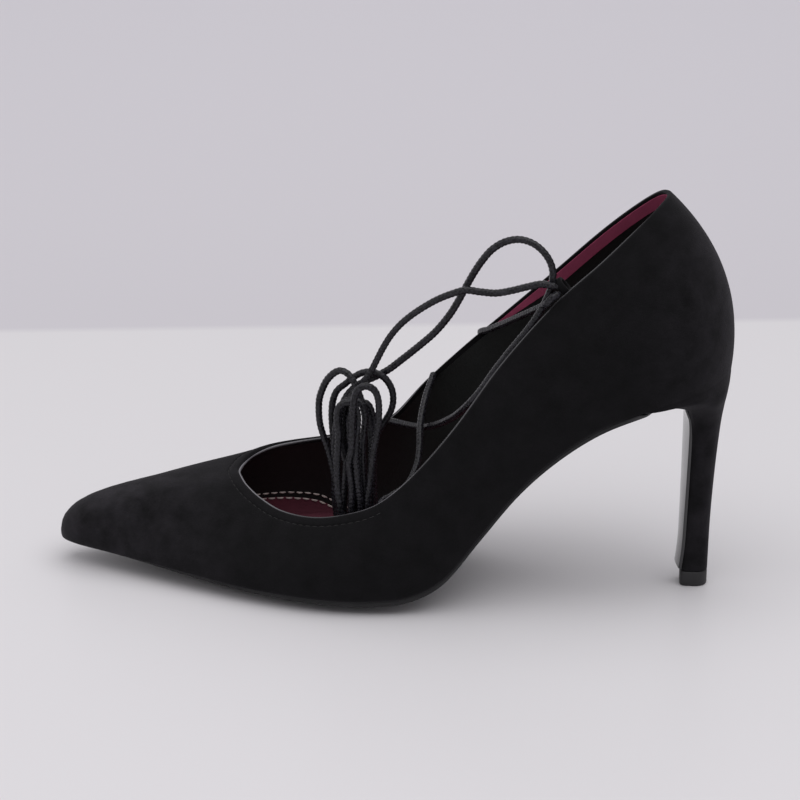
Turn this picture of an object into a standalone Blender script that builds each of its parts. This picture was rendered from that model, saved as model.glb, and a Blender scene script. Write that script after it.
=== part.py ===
"""Lace-up stiletto pump in suede: a left shoe, pointed and closed at the toe, on a covered heel.

The toe points to -X, the outer side of the foot to -Y, and +Z is up from the floor. The tables are in
millimetres as a last maker measures them: ahead of the middle of the heel tip, out towards the outer side
of the foot (so the inner side is negative) and up from the floor.
"""

import math
from collections import namedtuple

import bmesh
import bpy
import numpy as np

MM = 0.001
TOE_AHEAD = 220.8
BACK_AHEAD = -9.2
SEAT_BACK_UP = 80.0
COLLAR_UP = 138.8
BALL_OUT = 36.6
BALL_IN = -36.9
ORIGIN_AHEAD = 105.54
ORIGIN_OUT = -0.27
GAP = 0.3
WALL = 1.6
BEAD = 0.5
BEAD_STEPS = 2
INSOLE_THICK = 2.0
OUTSOLE_INSET = 0.8
TREAD_CROWN = 2.2
TREAD_THICK = 3.2
EDGE_THICK = 1.9
SHANK_THICK = 2.0
FLAP_THICK = 1.2
TOP_PIECE_HEIGHT = 5.5
CORD = 2.6
RIBS_PER_ROW = 3
RIB_BLEND = 0.5
RIB_BLEND_ROWS = 2
RIB_STEPS = 12
RIB_SAMPLES = 60
SHARP_ANGLE = math.radians(40.0)
WELD = 0.01

# Height of the feather line, where the upper's lower edge meets the sole.
Bottom = namedtuple("Bottom", "ahead up crown")
BOTTOM = (
    Bottom(TOE_AHEAD, 7.9, 0.4),
    Bottom(205, 7.8, 1.2),
    Bottom(182, 7.0, TREAD_CROWN),
    Bottom(158, 5.7, TREAD_CROWN),
    Bottom(130, 5.2, TREAD_CROWN),
    Bottom(108, 5.3, TREAD_CROWN),
    Bottom(95, 7.0, 1.6),
    Bottom(84, 12.8, 0.9),
    Bottom(72, 27.2, 0.3),
    Bottom(60, 42.0, 0.0),
    Bottom(47, 54.5, 0.0),
    Bottom(33, 64.6, 0.0),
    Bottom(20, 70.8, 0.0),
    Bottom(5, 76.0, 0.0),
    Bottom(BACK_AHEAD, SEAT_BACK_UP, 0.0),
)

# Ribs of the last, inside the upper, from the toe to the back of the heel. Each runs from the feather line
# (foot) to the topline (top), leaves the foot by rise and swell, and meets the top from reach outside it
# and drop below.
Rib = namedtuple(
    "Rib",
    "foot_ahead foot_out foot_in top_ahead top_out top_in top_up_out top_up_in rise swell reach drop",
)
RIBS = (
    Rib(TOE_AHEAD, -6.0, -6.0, 157.6, -3.0, -3.0, 35.2, 35.2, 14.0, 8.5, 52.3, 12.9),
    Rib(217.2, -1.8, -9.8, 156.8, 3.0, -9.0, 34.5, 35.8, 16.4, 5.3, 33.6, 14.0),
    Rib(208.4, 3.4, -13.6, 154.5, 8.5, -14.0, 33.2, 36.8, 11.9, 3.4, 17.5, 10.3),
    Rib(192.0, 11.2, -19.0, 149.0, 14.5, -19.5, 31.4, 37.8, 11.5, 2.2, 11.2, 10.9),
    Rib(172.0, 20.4, -26.0, 140.5, 21.0, -25.0, 30.0, 38.2, 10.4, 1.8, 7.0, 8.0),
    Rib(150.0, 29.6, -33.0, 129.0, 26.4, -29.0, 30.6, 39.0, 11.0, 2.2, 6.0, 8.5),
    Rib(128.0, 35.8, BALL_IN, 117.5, 29.5, -31.0, 33.4, 41.0, 11.0, 2.6, 6.0, 9.0),
    Rib(108.0, BALL_OUT, -36.6, 106.0, 31.0, -31.0, 38.6, 47.0, 12.0, 3.0, 5.5, 11.0),
    Rib(90.0, 34.0, -29.5, 94.5, 30.5, -29.5, 49.2, 61.0, 14.0, 3.0, 4.0, 13.0),
    Rib(74.0, 28.3, -23.0, 81.0, 28.0, -26.5, 65.6, 75.4, 17.0, 3.5, 3.0, 16.0),
    Rib(57.0, 24.6, -20.2, 66.0, 24.5, -23.0, 87.0, 90.0, 18.0, 4.0, 3.0, 18.0),
    Rib(38.0, 24.2, -22.4, 49.0, 21.0, -19.5, 106.8, 106.4, 18.0, 5.0, 4.0, 18.0),
    Rib(18.0, 24.8, -24.4, 34.0, 17.5, -17.0, 119.4, 121.0, 18.0, 5.0, 7.0, 18.0),
    Rib(3.0, 21.6, -21.6, 22.5, 13.0, -13.0, 129.8, 131.2, 20.0, 4.4, 11.0, 17.0),
    Rib(-6.0, 12.5, -12.5, 16.4, 7.0, -7.0, 136.4, 137.0, 24.0, 3.4, 15.0, 15.0),
    Rib(BACK_AHEAD, 0.0, 0.0, 14.6, 0.0, 0.0, COLLAR_UP, COLLAR_UP, 26.0, 3.0, 16.4, 14.6),
)

# The flap that continues the outsole down the front of the heel: its back face and its half width.
Flap = namedtuple("Flap", "ahead up half_width")
FLAP = (
    Flap(18.0, 69.3, 13.0),
    Flap(13.0, 69.8, 9.4),
    Flap(8.8, 69.4, 8.2),
    Flap(5.5, 67.7, 7.7),
    Flap(3.7, 64.2, 7.3),
    Flap(3.1, 59.0, 7.0),
    Flap(3.2, 43.0, 6.0),
    Flap(3.5, 25.0, 5.0),
    Flap(4.1, 6.6, 4.1),
)

# Level sections of the heel from its tip to its seat: the front and back ends, each with its height.
Level = namedtuple("Level", "front front_up back back_up half_width")
HEEL = (
    Level(3.7, 5.8, -5.2, 5.8, 4.4),
    Level(3.1, 25.0, -5.4, 25.0, 5.3),
    Level(2.8, 43.0, -6.3, 43.5, 6.6),
    Level(2.7, 57.0, -7.5, 59.0, 8.6),
    Level(3.3, 64.0, -8.6, 67.0, 12.2),
    Level(5.2, 68.0, -9.6, 72.5, 17.0),
    Level(12.5, 70.3, -10.1, 76.0, 22.4),
    Level(21.5, 69.4, -10.3, 78.4, 25.0),
)
HEEL_STEPS = 3
HEEL_SIDES = 36
SEAT_FRONT_AHEAD = 22.0
SEAT_INSET = 0.4
SEAT_RINGS = 3
FRONT_SQUARENESS = 6.0
BACK_SQUARENESS = 2.3

# Stations of the sole, counted back from the toe, and the width that stays inside the upper's edge.
SHARES = (-1.0, -0.82, -0.6, -0.3, 0.0, 0.3, 0.6, 0.82, 1.0)
OUTSOLE_TOE_STEPS = (0.2, 1.0, 2.5, 5.0, 9.0, 14.0)
OUTSOLE_STEP = 6.0
FULL_WIDTH_AHEAD = 24.0
SHANK_AHEAD = 80.0
TREAD_AHEAD = 108.0
INSOLE_BACK_CLEAR = 0.8
INSOLE_TOE_CLEAR = 9.0
INSOLE_SIDE_CLEAR = 0.35
INSOLE_STATIONS = 38
NARROWEST_HALF = 1.2

# Routes of the cord, each point ahead, out and up.
NEAR_TO_INNER = (
    (107.2, 28.9, 39.4), (102.6, 24.3, 38.9), (97.8, 17.0, 39.9), (95.0, 8.5, 43.4), (94.0, 2.0, 47.2),
    (93.8, -7.4, 53.0), (92.9, -16.0, 58.6), (91.9, -25.4, 62.9),
)
INNER_TO_KEEPER = (
    (108.6, -28.2, 47.0), (104.6, -24.4, 47.8), (99.4, -17.4, 49.6), (94.6, -8.6, 52.6),
    (89.6, 0.4, 57.0), (82.6, 13.6, 64.2), (77.6, 22.2, 70.9), (72.6, 24.2, 77.8),
    (66.4, 22.7, 86.8), (60.0, 21.4, 95.0), (55.0, 20.4, 102.0), (52.2, 19.6, 106.6), (51.0, 19.0, 109.4),
)
KEEPER_TO_INNER = (
    (49.8, 22.6, 109.6), (51.6, 22.2, 107.4), (53.6, 18.6, 105.2), (60.4, 5.2, 97.8),
    (67.2, -8.6, 90.2), (72.2, -18.2, 84.8), (74.6, -22.7, 82.6),
)
OUTER_END = (
    (49.5, 18.2, 114.2), (50.2, 18.0, 118.2), (52.4, 17.4, 122.8), (56.0, 16.4, 126.2),
    (61.2, 15.2, 127.6), (67.0, 14.2, 125.8), (72.4, 13.4, 120.6), (76.6, 12.6, 113.4),
    (80.0, 12.0, 106.6), (83.0, 11.4, 100.8), (87.2, 10.8, 94.6), (93.4, 10.0, 88.6),
    (99.4, 9.2, 83.4), (104.0, 8.8, 80.6), (107.4, 8.6, 78.9),
)
INNER_END = (
    (48.2, 20.8, 112.6), (51.8, 21.2, 113.6), (55.4, 21.0, 113.4), (60.4, 20.6, 111.8),
    (68.2, 19.6, 109.8), (74.0, 18.6, 109.8), (78.8, 17.8, 110.2), (84.0, 16.8, 108.2),
    (90.6, 15.4, 104.4), (97.6, 14.2, 99.2), (103.2, 13.2, 93.0), (106.2, 12.8, 87.2),
    (108.2, 12.8, 82.6), (109.2, 12.6, 78.9),
)
POINTS_PER_LEG = 2

# Outline of the bunch of loops: sections from its foot on the insole to its top.
Bunch = namedtuple("Bunch", "up ahead out half_length half_width")
BUNCH = (
    Bunch(7.0, 111.5, 15.0, 3.5, 5.0),
    Bunch(22.0, 111.5, 15.0, 6.5, 8.0),
    Bunch(42.0, 113.0, 13.0, 10.0, 10.0),
    Bunch(60.0, 116.0, 11.5, 13.0, 11.0),
    Bunch(71.0, 115.5, 11.0, 12.5, 10.0),
    Bunch(78.0, 115.0, 11.0, 7.0, 6.0),
)
BUNCH_SIDES = 20

# The small loop on the outer topline: its middle, its size and the slope of the topline there.
KEEPER_AHEAD = 46.4
KEEPER_OUT = 16.8
KEEPER_UP = 111.6
KEEPER_RADIUS = 2.7
KEEPER_CORD = 1.4
KEEPER_SIDES = 18
KEEPER_CORD_SIDES = 8
KEEPER_SLOPE = math.radians(42.0)


def frame(ahead, out, up):
    """The part's own coordinates, in metres, of a last maker's measures."""
    return ((ORIGIN_AHEAD - ahead) * MM, (ORIGIN_OUT - out) * MM, up * MM)


def smooth(stations, values, at, closed=False):
    """Values on a smooth curve through the rows of a table, at stations in rising order."""
    stations = np.asarray(stations, float)
    values = np.asarray(values, float)
    if closed:
        period = len(stations)
        stations = np.concatenate([stations - period, stations, stations + period])
        values = np.concatenate([values, values, values])
    steps = np.diff(stations)
    slopes = np.diff(values, axis=0) / steps.reshape((-1,) + (1,) * (values.ndim - 1))
    tangents = np.concatenate([slopes[:1], (slopes[:-1] + slopes[1:]) / 2, slopes[-1:]])
    at = np.clip(np.asarray(at, float), stations[0], stations[-1])
    i = np.clip(np.searchsorted(stations, at, side="right") - 1, 0, len(steps) - 1)
    step = steps[i]
    t = (at - stations[i]) / step
    if values.ndim > 1:
        step = step[:, None]
        t = t[:, None]
    rise = values[i] * (1 + 2 * t) * (1 - t) ** 2 + values[i + 1] * t**2 * (3 - 2 * t)
    return rise + step * (tangents[i] * t * (1 - t) ** 2 - tangents[i + 1] * t**2 * (1 - t))


def column(table, name):
    return np.array([getattr(row, name) for row in table], float)


def bottom_up(ahead):
    """Height of the feather line at a station."""
    return smooth(column(BOTTOM, "ahead")[::-1], column(BOTTOM, "up")[::-1], ahead)


def crown(ahead):
    """How far the middle of the sole hangs below its edges."""
    return smooth(column(BOTTOM, "ahead")[::-1], column(BOTTOM, "crown")[::-1], ahead)


def loop_table():
    """The ribs of both sides in order round the shoe, with the columns that the two sides share."""
    outer = [
        (r.foot_ahead, r.foot_out, r.top_ahead, r.top_out, r.top_up_out, r.rise, r.swell, r.reach, r.drop)
        for r in RIBS
    ]
    inner = [
        (r.foot_ahead, r.foot_in, r.top_ahead, r.top_in, r.top_up_in, r.rise, r.swell, r.reach, r.drop)
        for r in RIBS[-2:0:-1]
    ]
    return np.array(outer + inner, float)


def loop_ribs():
    """The loop table filled in with smooth ribs between its rows."""
    table = loop_table()
    rows = len(table)
    at = np.arange(rows * RIBS_PER_ROW) / RIBS_PER_ROW
    return smooth(np.arange(rows), table, at, closed=True)


def plan_normals(plan):
    """Outward directions, seen from above, of a closed loop that runs from the toe along the outer side."""
    along = np.roll(plan, -1, axis=0) - np.roll(plan, 1, axis=0)
    across = np.stack([along[:, 1], -along[:, 0]], axis=1)
    return across / np.linalg.norm(across, axis=1, keepdims=True)


def blend_ribs(ways):
    """Directions round the shoe, each blended with its neighbours', so that the tight toe leaves no groove."""
    reach = RIB_BLEND_ROWS * RIBS_PER_ROW
    blended = np.zeros_like(ways)
    for offset in range(-reach, reach + 1):
        weight = np.exp(-((offset / (RIB_BLEND * RIBS_PER_ROW)) ** 2) / 2)
        blended += weight * np.roll(ways, offset, axis=0)
    return blended / np.linalg.norm(blended, axis=1, keepdims=True)


def last_surface():
    """Grid of points on the last, which is the inside of the upper: ribs by steps from foot to topline."""
    rib = loop_ribs()
    foot = np.column_stack([rib[:, 0], rib[:, 1], bottom_up(rib[:, 0])])
    top = rib[:, 2:5]
    rise, swell, reach, drop = (rib[:, k : k + 1] for k in range(5, 9))
    level = np.zeros((len(rib), 1))
    foot_out = np.hstack([plan_normals(foot[:, :2]), level])
    top_out = np.hstack([plan_normals(top[:, :2]), level])
    climb = top - foot
    climb = climb - foot_out * (climb * foot_out).sum(1, keepdims=True)
    climb = blend_ribs(climb / np.linalg.norm(climb, axis=1, keepdims=True))
    first = foot + foot_out * swell + climb * rise
    second = top + top_out * reach - climb * drop
    fine = np.linspace(0, 1, RIB_SAMPLES)
    grid = []
    for a, b, c, d in zip(foot, first, second, top):
        t = fine[:, None]
        line = a * (1 - t) ** 3 + 3 * b * t * (1 - t) ** 2 + 3 * c * t**2 * (1 - t) + d * t**3
        length = np.concatenate([[0], np.cumsum(np.linalg.norm(np.diff(line, axis=0), axis=1))])
        even = np.linspace(0, length[-1], RIB_STEPS + 1)
        grid.append(np.column_stack([np.interp(even, length, line[:, k]) for k in range(3)]))
    return np.array(grid)


def grid_normals(grid):
    """Outward normals of a grid that closes on itself along its first index."""
    round_shoe = np.roll(grid, -1, axis=0) - np.roll(grid, 1, axis=0)
    up_wall = np.gradient(grid, axis=1)
    normals = np.cross(round_shoe, up_wall)
    return normals / np.linalg.norm(normals, axis=2, keepdims=True)


def feather_sides(ahead, edge=0.0):
    """Where the feather line, moved out by an edge, lies on the outer and on the inner side at a station."""
    feet = loop_ribs()[:, :2]
    feet = feet + plan_normals(feet) * edge
    back = (len(RIBS) - 1) * RIBS_PER_ROW
    outer = feet[back::-1]
    inner = np.concatenate([feet[back:], feet[:1]])
    return np.interp(ahead, *outer.T), np.interp(ahead, *inner.T)


def sole_slope(ahead):
    """How much longer a step along the bottom is than its run."""
    slope = float(bottom_up([ahead + 1.0])[0] - bottom_up([ahead - 1.0])[0]) / 2
    return math.hypot(1.0, slope)


def finish(name, vertices, faces, material):
    """A named object from points in a last maker's measures, with its faces turned outward."""
    mesh = bpy.data.meshes.new(name)
    mesh.from_pydata([frame(*v) for v in vertices], [], faces)
    shell = bmesh.new()
    shell.from_mesh(mesh)
    bmesh.ops.recalc_face_normals(shell, faces=shell.faces)
    shell.to_mesh(mesh)
    shell.free()
    mesh.shade_smooth()
    mesh.set_sharp_from_angle(angle=SHARP_ANGLE)
    return place(name, mesh, material)


def place(name, data, material):
    piece = bpy.data.objects.new(name, data)
    data.materials.append(material)
    bpy.context.scene.collection.objects.link(piece)
    piece.parent = bpy.data.objects["shoe"]
    return piece


def material_of(name, colour, roughness):
    material = bpy.data.materials.new(name)
    material.use_nodes = True
    shader = material.node_tree.nodes["Principled BSDF"]
    shader.inputs["Base Color"].default_value = (*colour, 1.0)
    shader.inputs["Roughness"].default_value = roughness
    shader.inputs["Metallic"].default_value = 0.0
    return material


def ring_faces(rings, sides, closed=False):
    """Quads between rings of points that follow each other, for a list made ring by ring."""
    last = rings if closed else rings - 1
    return [
        (
            i * sides + j,
            i * sides + (j + 1) % sides,
            (i + 1) % rings * sides + (j + 1) % sides,
            (i + 1) % rings * sides + j,
        )
        for i in range(last)
        for j in range(sides)
    ]


def make_upper(material):
    """The lasted shell: each rib's outside, its rolled topline and its inside make one closed section."""
    inside = last_surface()
    normals = grid_normals(inside)
    outside = inside + normals * WALL
    outside[:, 0, 2] = bottom_up(outside[:, 0, 0])
    outside[:, -BEAD_STEPS:] += normals[:, -BEAD_STEPS:] * BEAD
    sections = np.concatenate([outside, inside[:, ::-1]], axis=1)
    ribs, sides = sections.shape[:2]
    faces = ring_faces(ribs, sides, closed=True)
    return finish("upper", sections.reshape(-1, 3), faces, material)


def strip(name, stations, material):
    """A closed strip from stations that each hold a row of points above and a row below, side to side."""
    vertices = []
    for above, below in stations:
        vertices += list(above) + list(below)[::-1]
    sides = len(stations[0][0]) + len(stations[0][1])
    faces = ring_faces(len(stations), sides)
    faces.append(tuple(range(sides)))
    faces.append(tuple(range((len(stations) - 1) * sides, len(stations) * sides)))
    return finish(name, vertices, faces, material)


def sole_row(ahead, outer, inner, up, thick):
    """Points across the sole at a station, above and below, bowed down in the middle of the tread."""
    above = []
    below = []
    for share in SHARES:
        out = (outer + inner) / 2 + share * (outer - inner) / 2
        bow = crown([ahead])[0] * (1 - share**2)
        edge = abs(share) ** 3
        depth = thick * (1 - edge) + EDGE_THICK * edge
        above.append((ahead, out, up - bow))
        below.append((ahead, out, max(0.0, up - bow - depth)))
    return above, below


def make_outsole(material):
    """Forefoot, arch and the flap down the heel's front, as one strip of leather."""
    toe = TOE_AHEAD - np.array(OUTSOLE_TOE_STEPS)
    fore = np.concatenate([toe, np.arange(toe[-1] - OUTSOLE_STEP, FULL_WIDTH_AHEAD, -OUTSOLE_STEP)])
    stations = []
    for ahead in np.append(fore, FULL_WIDTH_AHEAD):
        outer, inner = (float(side) for side in feather_sides(ahead))
        edge = WALL - OUTSOLE_INSET
        thick = float(np.interp(ahead, (SHANK_AHEAD, TREAD_AHEAD), (SHANK_THICK, TREAD_THICK)))
        lean = sole_slope(ahead)
        up = float(bottom_up([ahead])[0]) - GAP * lean
        stations.append(sole_row(ahead, outer + edge, inner - edge, up, thick * lean))
    path = np.array([(f.ahead, f.up) for f in FLAP])
    ways = np.gradient(path, axis=0)
    for row, way in zip(FLAP, ways):
        ahead_side = np.array([-way[1], way[0]]) / np.hypot(*way)
        front = np.array([row.ahead, row.up]) + ahead_side * FLAP_THICK
        above = [(row.ahead, share * row.half_width, row.up) for share in SHARES]
        below = [(front[0], share * row.half_width, front[1]) for share in SHARES]
        stations.append((above, below))
    return strip("outsole", stations, material)


def make_insole(material):
    """The sock board that closes the upper from inside, dished like the sole below it."""
    ends = (BACK_AHEAD + INSOLE_BACK_CLEAR, TOE_AHEAD - INSOLE_TOE_CLEAR)
    stations = []
    for ahead in np.linspace(*ends, INSOLE_STATIONS):
        outer, inner = (float(side) for side in feather_sides(ahead))
        half = max(NARROWEST_HALF, (outer - inner) / 2 - INSOLE_SIDE_CLEAR)
        lean = sole_slope(ahead)
        under = float(bottom_up([ahead])[0])
        above = []
        below = []
        for share in SHARES:
            out = (outer + inner) / 2 + share * half
            bow = crown([ahead])[0] * (1 - share**2)
            above.append((ahead, out, under - bow + INSOLE_THICK * lean))
            below.append((ahead, out, under - bow))
        stations.append((above, below))
    return strip("insole", stations, material)


def round_heel(front, back, half_width, sides):
    """Outline of a heel section: flat in front, round behind. Points lie in pairs across the middle."""
    middle = (front + back) / 2
    half = (front - back) / 2
    points = []
    for k in range(sides):
        turn = 2 * math.pi * (k + 0.5) / sides
        power = 2 / (FRONT_SQUARENESS if math.cos(turn) > 0 else BACK_SQUARENESS)
        ahead = middle + half * math.copysign(abs(math.cos(turn)) ** power, math.cos(turn))
        out = half_width * math.copysign(abs(math.sin(turn)) ** power, math.sin(turn))
        points.append((ahead, out))
    return points


def ladder(sides, first):
    """Faces across an outline whose points lie in pairs, k and sides - 1 - k."""
    half = sides // 2
    return [
        (first + k, first + k + 1, first + sides - 2 - k, first + sides - 1 - k) for k in range(half - 1)
    ]


def heel_rings():
    """Sections from the tip to the seat, and last the seat itself, which follows the upper's feather line."""
    rings = []
    for row in HEEL:
        slope = (row.back_up - row.front_up) / (row.front - row.back)
        outline = round_heel(row.front, row.back, row.half_width, HEEL_SIDES)
        rings.append([(ahead, out, row.front_up + slope * (row.front - ahead)) for ahead, out in outline])
    seat_back = BACK_AHEAD - WALL + SEAT_INSET
    seat = round_heel(SEAT_FRONT_AHEAD, seat_back, HEEL[-1].half_width, HEEL_SIDES)
    rings.append([(ahead, out, float(bottom_up([ahead])[0]) - GAP) for ahead, out in seat])
    rows = np.array(rings)
    for ring in rows[-SEAT_RINGS:]:
        outer, inner = feather_sides(ring[:, 0], WALL - SEAT_INSET)
        ring[:, 1] = np.clip(ring[:, 1], inner, outer)
    count = len(rows)
    at = np.linspace(0, count - 1, (count - 1) * HEEL_STEPS + 1)
    flat = smooth(np.arange(count), rows.reshape(count, -1), at)
    return flat.reshape(len(at), HEEL_SIDES, 3)


def make_heel(material):
    rings = heel_rings()
    faces = ring_faces(len(rings), HEEL_SIDES)
    faces += ladder(HEEL_SIDES, 0)
    faces += ladder(HEEL_SIDES, (len(rings) - 1) * HEEL_SIDES)
    return finish("heel", rings.reshape(-1, 3), faces, material)


def make_top_piece(material):
    """The rubber tip, with its walking face on the floor."""
    tip = HEEL[0]
    outline = round_heel(tip.front, tip.back, tip.half_width, HEEL_SIDES)
    vertices = [(ahead, out, up) for up in (0.0, TOP_PIECE_HEIGHT) for ahead, out in outline]
    faces = ring_faces(2, HEEL_SIDES) + ladder(HEEL_SIDES, 0) + ladder(HEEL_SIDES, HEEL_SIDES)
    return finish("top_piece", vertices, faces, material)


def make_keeper(material):
    """A small ring of leather that stands on the topline, with the way through it along the topline."""
    vertices = []
    for i in range(KEEPER_SIDES):
        turn = 2 * math.pi * i / KEEPER_SIDES
        for j in range(KEEPER_CORD_SIDES):
            tilt = 2 * math.pi * j / KEEPER_CORD_SIDES
            reach = KEEPER_RADIUS + KEEPER_CORD / 2 * math.cos(tilt)
            along = KEEPER_CORD / 2 * math.sin(tilt)
            rise = reach * math.sin(turn)
            vertices.append(
                (
                    KEEPER_AHEAD + along * math.cos(KEEPER_SLOPE) + rise * math.sin(KEEPER_SLOPE),
                    KEEPER_OUT + reach * math.cos(turn),
                    KEEPER_UP - along * math.sin(KEEPER_SLOPE) + rise * math.cos(KEEPER_SLOPE),
                )
            )
    faces = ring_faces(KEEPER_SIDES, KEEPER_CORD_SIDES, closed=True)
    return finish("keeper", vertices, faces, material)


def cord_curve(name, route, material):
    """A round cord along a smooth curve through the points of its route."""
    legs = len(route) - 1
    at = np.linspace(0, legs, legs * POINTS_PER_LEG + 1)
    points = smooth(np.arange(legs + 1), np.array(route), at)
    curve = bpy.data.curves.new(name, "CURVE")
    curve.dimensions = "3D"
    curve.bevel_depth = CORD / 2 * MM
    curve.bevel_resolution = 2
    curve.use_fill_caps = True
    line = curve.splines.new("POLY")
    line.points.add(len(points) - 1)
    for spot, point in zip(line.points, points):
        spot.co = (*frame(*point), 1.0)
    return place(name, curve, material)


def make_crossing(material):
    """The cord where it crosses the instep: three runs joined where they lie on each other."""
    runs = []
    for name, route in (
        ("lace_crossing", NEAR_TO_INNER),
        ("run_to_keeper", INNER_TO_KEEPER),
        ("run_to_inner", KEEPER_TO_INNER),
    ):
        curve = cord_curve(name + "_guide", route, material)
        graph = bpy.context.evaluated_depsgraph_get()
        mesh = bpy.data.meshes.new_from_object(curve.evaluated_get(graph))
        bpy.data.objects.remove(curve)
        shell = bmesh.new()
        shell.from_mesh(mesh)
        bmesh.ops.remove_doubles(shell, verts=shell.verts, dist=WELD * MM)
        bmesh.ops.recalc_face_normals(shell, faces=shell.faces)
        shell.to_mesh(mesh)
        shell.free()
        mesh.materials.clear()
        runs.append(place(name, mesh, material))
    whole, *others = runs
    for other in others:
        other.hide_render = True
        other.display_type = "WIRE"
        join = whole.modifiers.new(other.name, "BOOLEAN")
        join.operation = "UNION"
        join.object = other
    return whole


def make_bunch(material):
    """The outer form of the loops that the two ends are wound into."""
    at = np.linspace(0, len(BUNCH) - 1, 2 * len(BUNCH) - 1)
    rows = smooth(np.arange(len(BUNCH)), np.array(BUNCH, float), at)
    vertices = []
    for up, ahead, out, half_length, half_width in rows:
        for k in range(BUNCH_SIDES):
            turn = 2 * math.pi * (k + 0.5) / BUNCH_SIDES
            vertices.append((ahead + half_length * math.cos(turn), out + half_width * math.sin(turn), up))
    faces = ring_faces(len(rows), BUNCH_SIDES)
    faces += ladder(BUNCH_SIDES, 0)
    faces += ladder(BUNCH_SIDES, (len(rows) - 1) * BUNCH_SIDES)
    return finish("lace_bunch", vertices, faces, material)


def main():
    for thing in list(bpy.data.objects):
        bpy.data.objects.remove(thing)
    shoe = bpy.data.objects.new("shoe", None)
    bpy.context.scene.collection.objects.link(shoe)
    suede = material_of("black_suede", (0.006, 0.006, 0.007), 0.95)
    leather = material_of("black_sole_leather", (0.010, 0.010, 0.011), 0.28)
    sock = material_of("burgundy_sock", (0.055, 0.010, 0.016), 0.60)
    rubber = material_of("black_rubber", (0.012, 0.012, 0.013), 0.55)
    waxed = material_of("black_waxed_cord", (0.018, 0.019, 0.022), 0.45)
    make_upper(suede)
    make_outsole(leather)
    make_insole(sock)
    make_heel(suede)
    make_top_piece(rubber)
    make_keeper(suede)
    make_crossing(waxed)
    cord_curve("lace_end_outer", OUTER_END, waxed)
    cord_curve("lace_end_inner", INNER_END, waxed)
    make_bunch(waxed)


main()
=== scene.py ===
"""Lace-up stiletto pump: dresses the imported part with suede, linings, sole, heel cover and wound lace.

The tables are in millimetres as a last maker measures them: ahead of the middle of the heel tip, out towards
the outer side of the foot (so the inner side is negative) and up from the floor.
"""

import math
from collections import namedtuple

import bmesh
import bpy
import numpy as np
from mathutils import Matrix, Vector


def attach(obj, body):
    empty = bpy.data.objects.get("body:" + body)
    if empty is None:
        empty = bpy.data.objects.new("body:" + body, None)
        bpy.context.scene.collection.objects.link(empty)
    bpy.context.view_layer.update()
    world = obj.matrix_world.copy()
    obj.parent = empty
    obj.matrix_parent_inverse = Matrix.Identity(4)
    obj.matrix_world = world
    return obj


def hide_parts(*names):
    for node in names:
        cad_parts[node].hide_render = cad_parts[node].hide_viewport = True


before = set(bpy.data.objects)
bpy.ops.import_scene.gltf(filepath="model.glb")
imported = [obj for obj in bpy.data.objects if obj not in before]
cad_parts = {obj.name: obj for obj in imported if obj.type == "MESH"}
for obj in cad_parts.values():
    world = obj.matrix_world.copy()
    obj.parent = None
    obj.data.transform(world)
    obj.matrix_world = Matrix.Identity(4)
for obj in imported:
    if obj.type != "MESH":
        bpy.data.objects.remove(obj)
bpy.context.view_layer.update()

bl_info = {
    "name": "Lace-up stiletto pump",
    "version": (1, 0, 0),
    "blender": (4, 5, 0),
    "location": "3D View > Sidebar > Pump",
    "description": "Dresses a pointed suede pump with its linings, sole, heel and wound lace",
    "category": "Object",
}

MM = 0.001
BODY = "root"
SHARP_ANGLE = math.radians(50)

# The last, as in the part: where its own origin lies and the heights of its feather line.
ORIGIN_AHEAD = 105.54
ORIGIN_OUT = -0.27
TOE_AHEAD = 220.8
BACK_AHEAD = -9.2
GAP = 0.05
TREAD_CROWN = 2.2

Bottom = namedtuple("Bottom", "ahead up crown")
BOTTOM = (
    Bottom(TOE_AHEAD, 7.9, 0.4),
    Bottom(205, 7.8, 1.2),
    Bottom(182, 7.0, TREAD_CROWN),
    Bottom(158, 5.7, TREAD_CROWN),
    Bottom(130, 5.2, TREAD_CROWN),
    Bottom(108, 5.3, TREAD_CROWN),
    Bottom(95, 7.0, 1.6),
    Bottom(84, 12.8, 0.9),
    Bottom(72, 27.2, 0.3),
    Bottom(60, 42.0, 0.0),
    Bottom(47, 54.5, 0.0),
    Bottom(33, 64.6, 0.0),
    Bottom(20, 70.8, 0.0),
    Bottom(5, 76.0, 0.0),
    Bottom(BACK_AHEAD, 80.0, 0.0),
)

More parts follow.
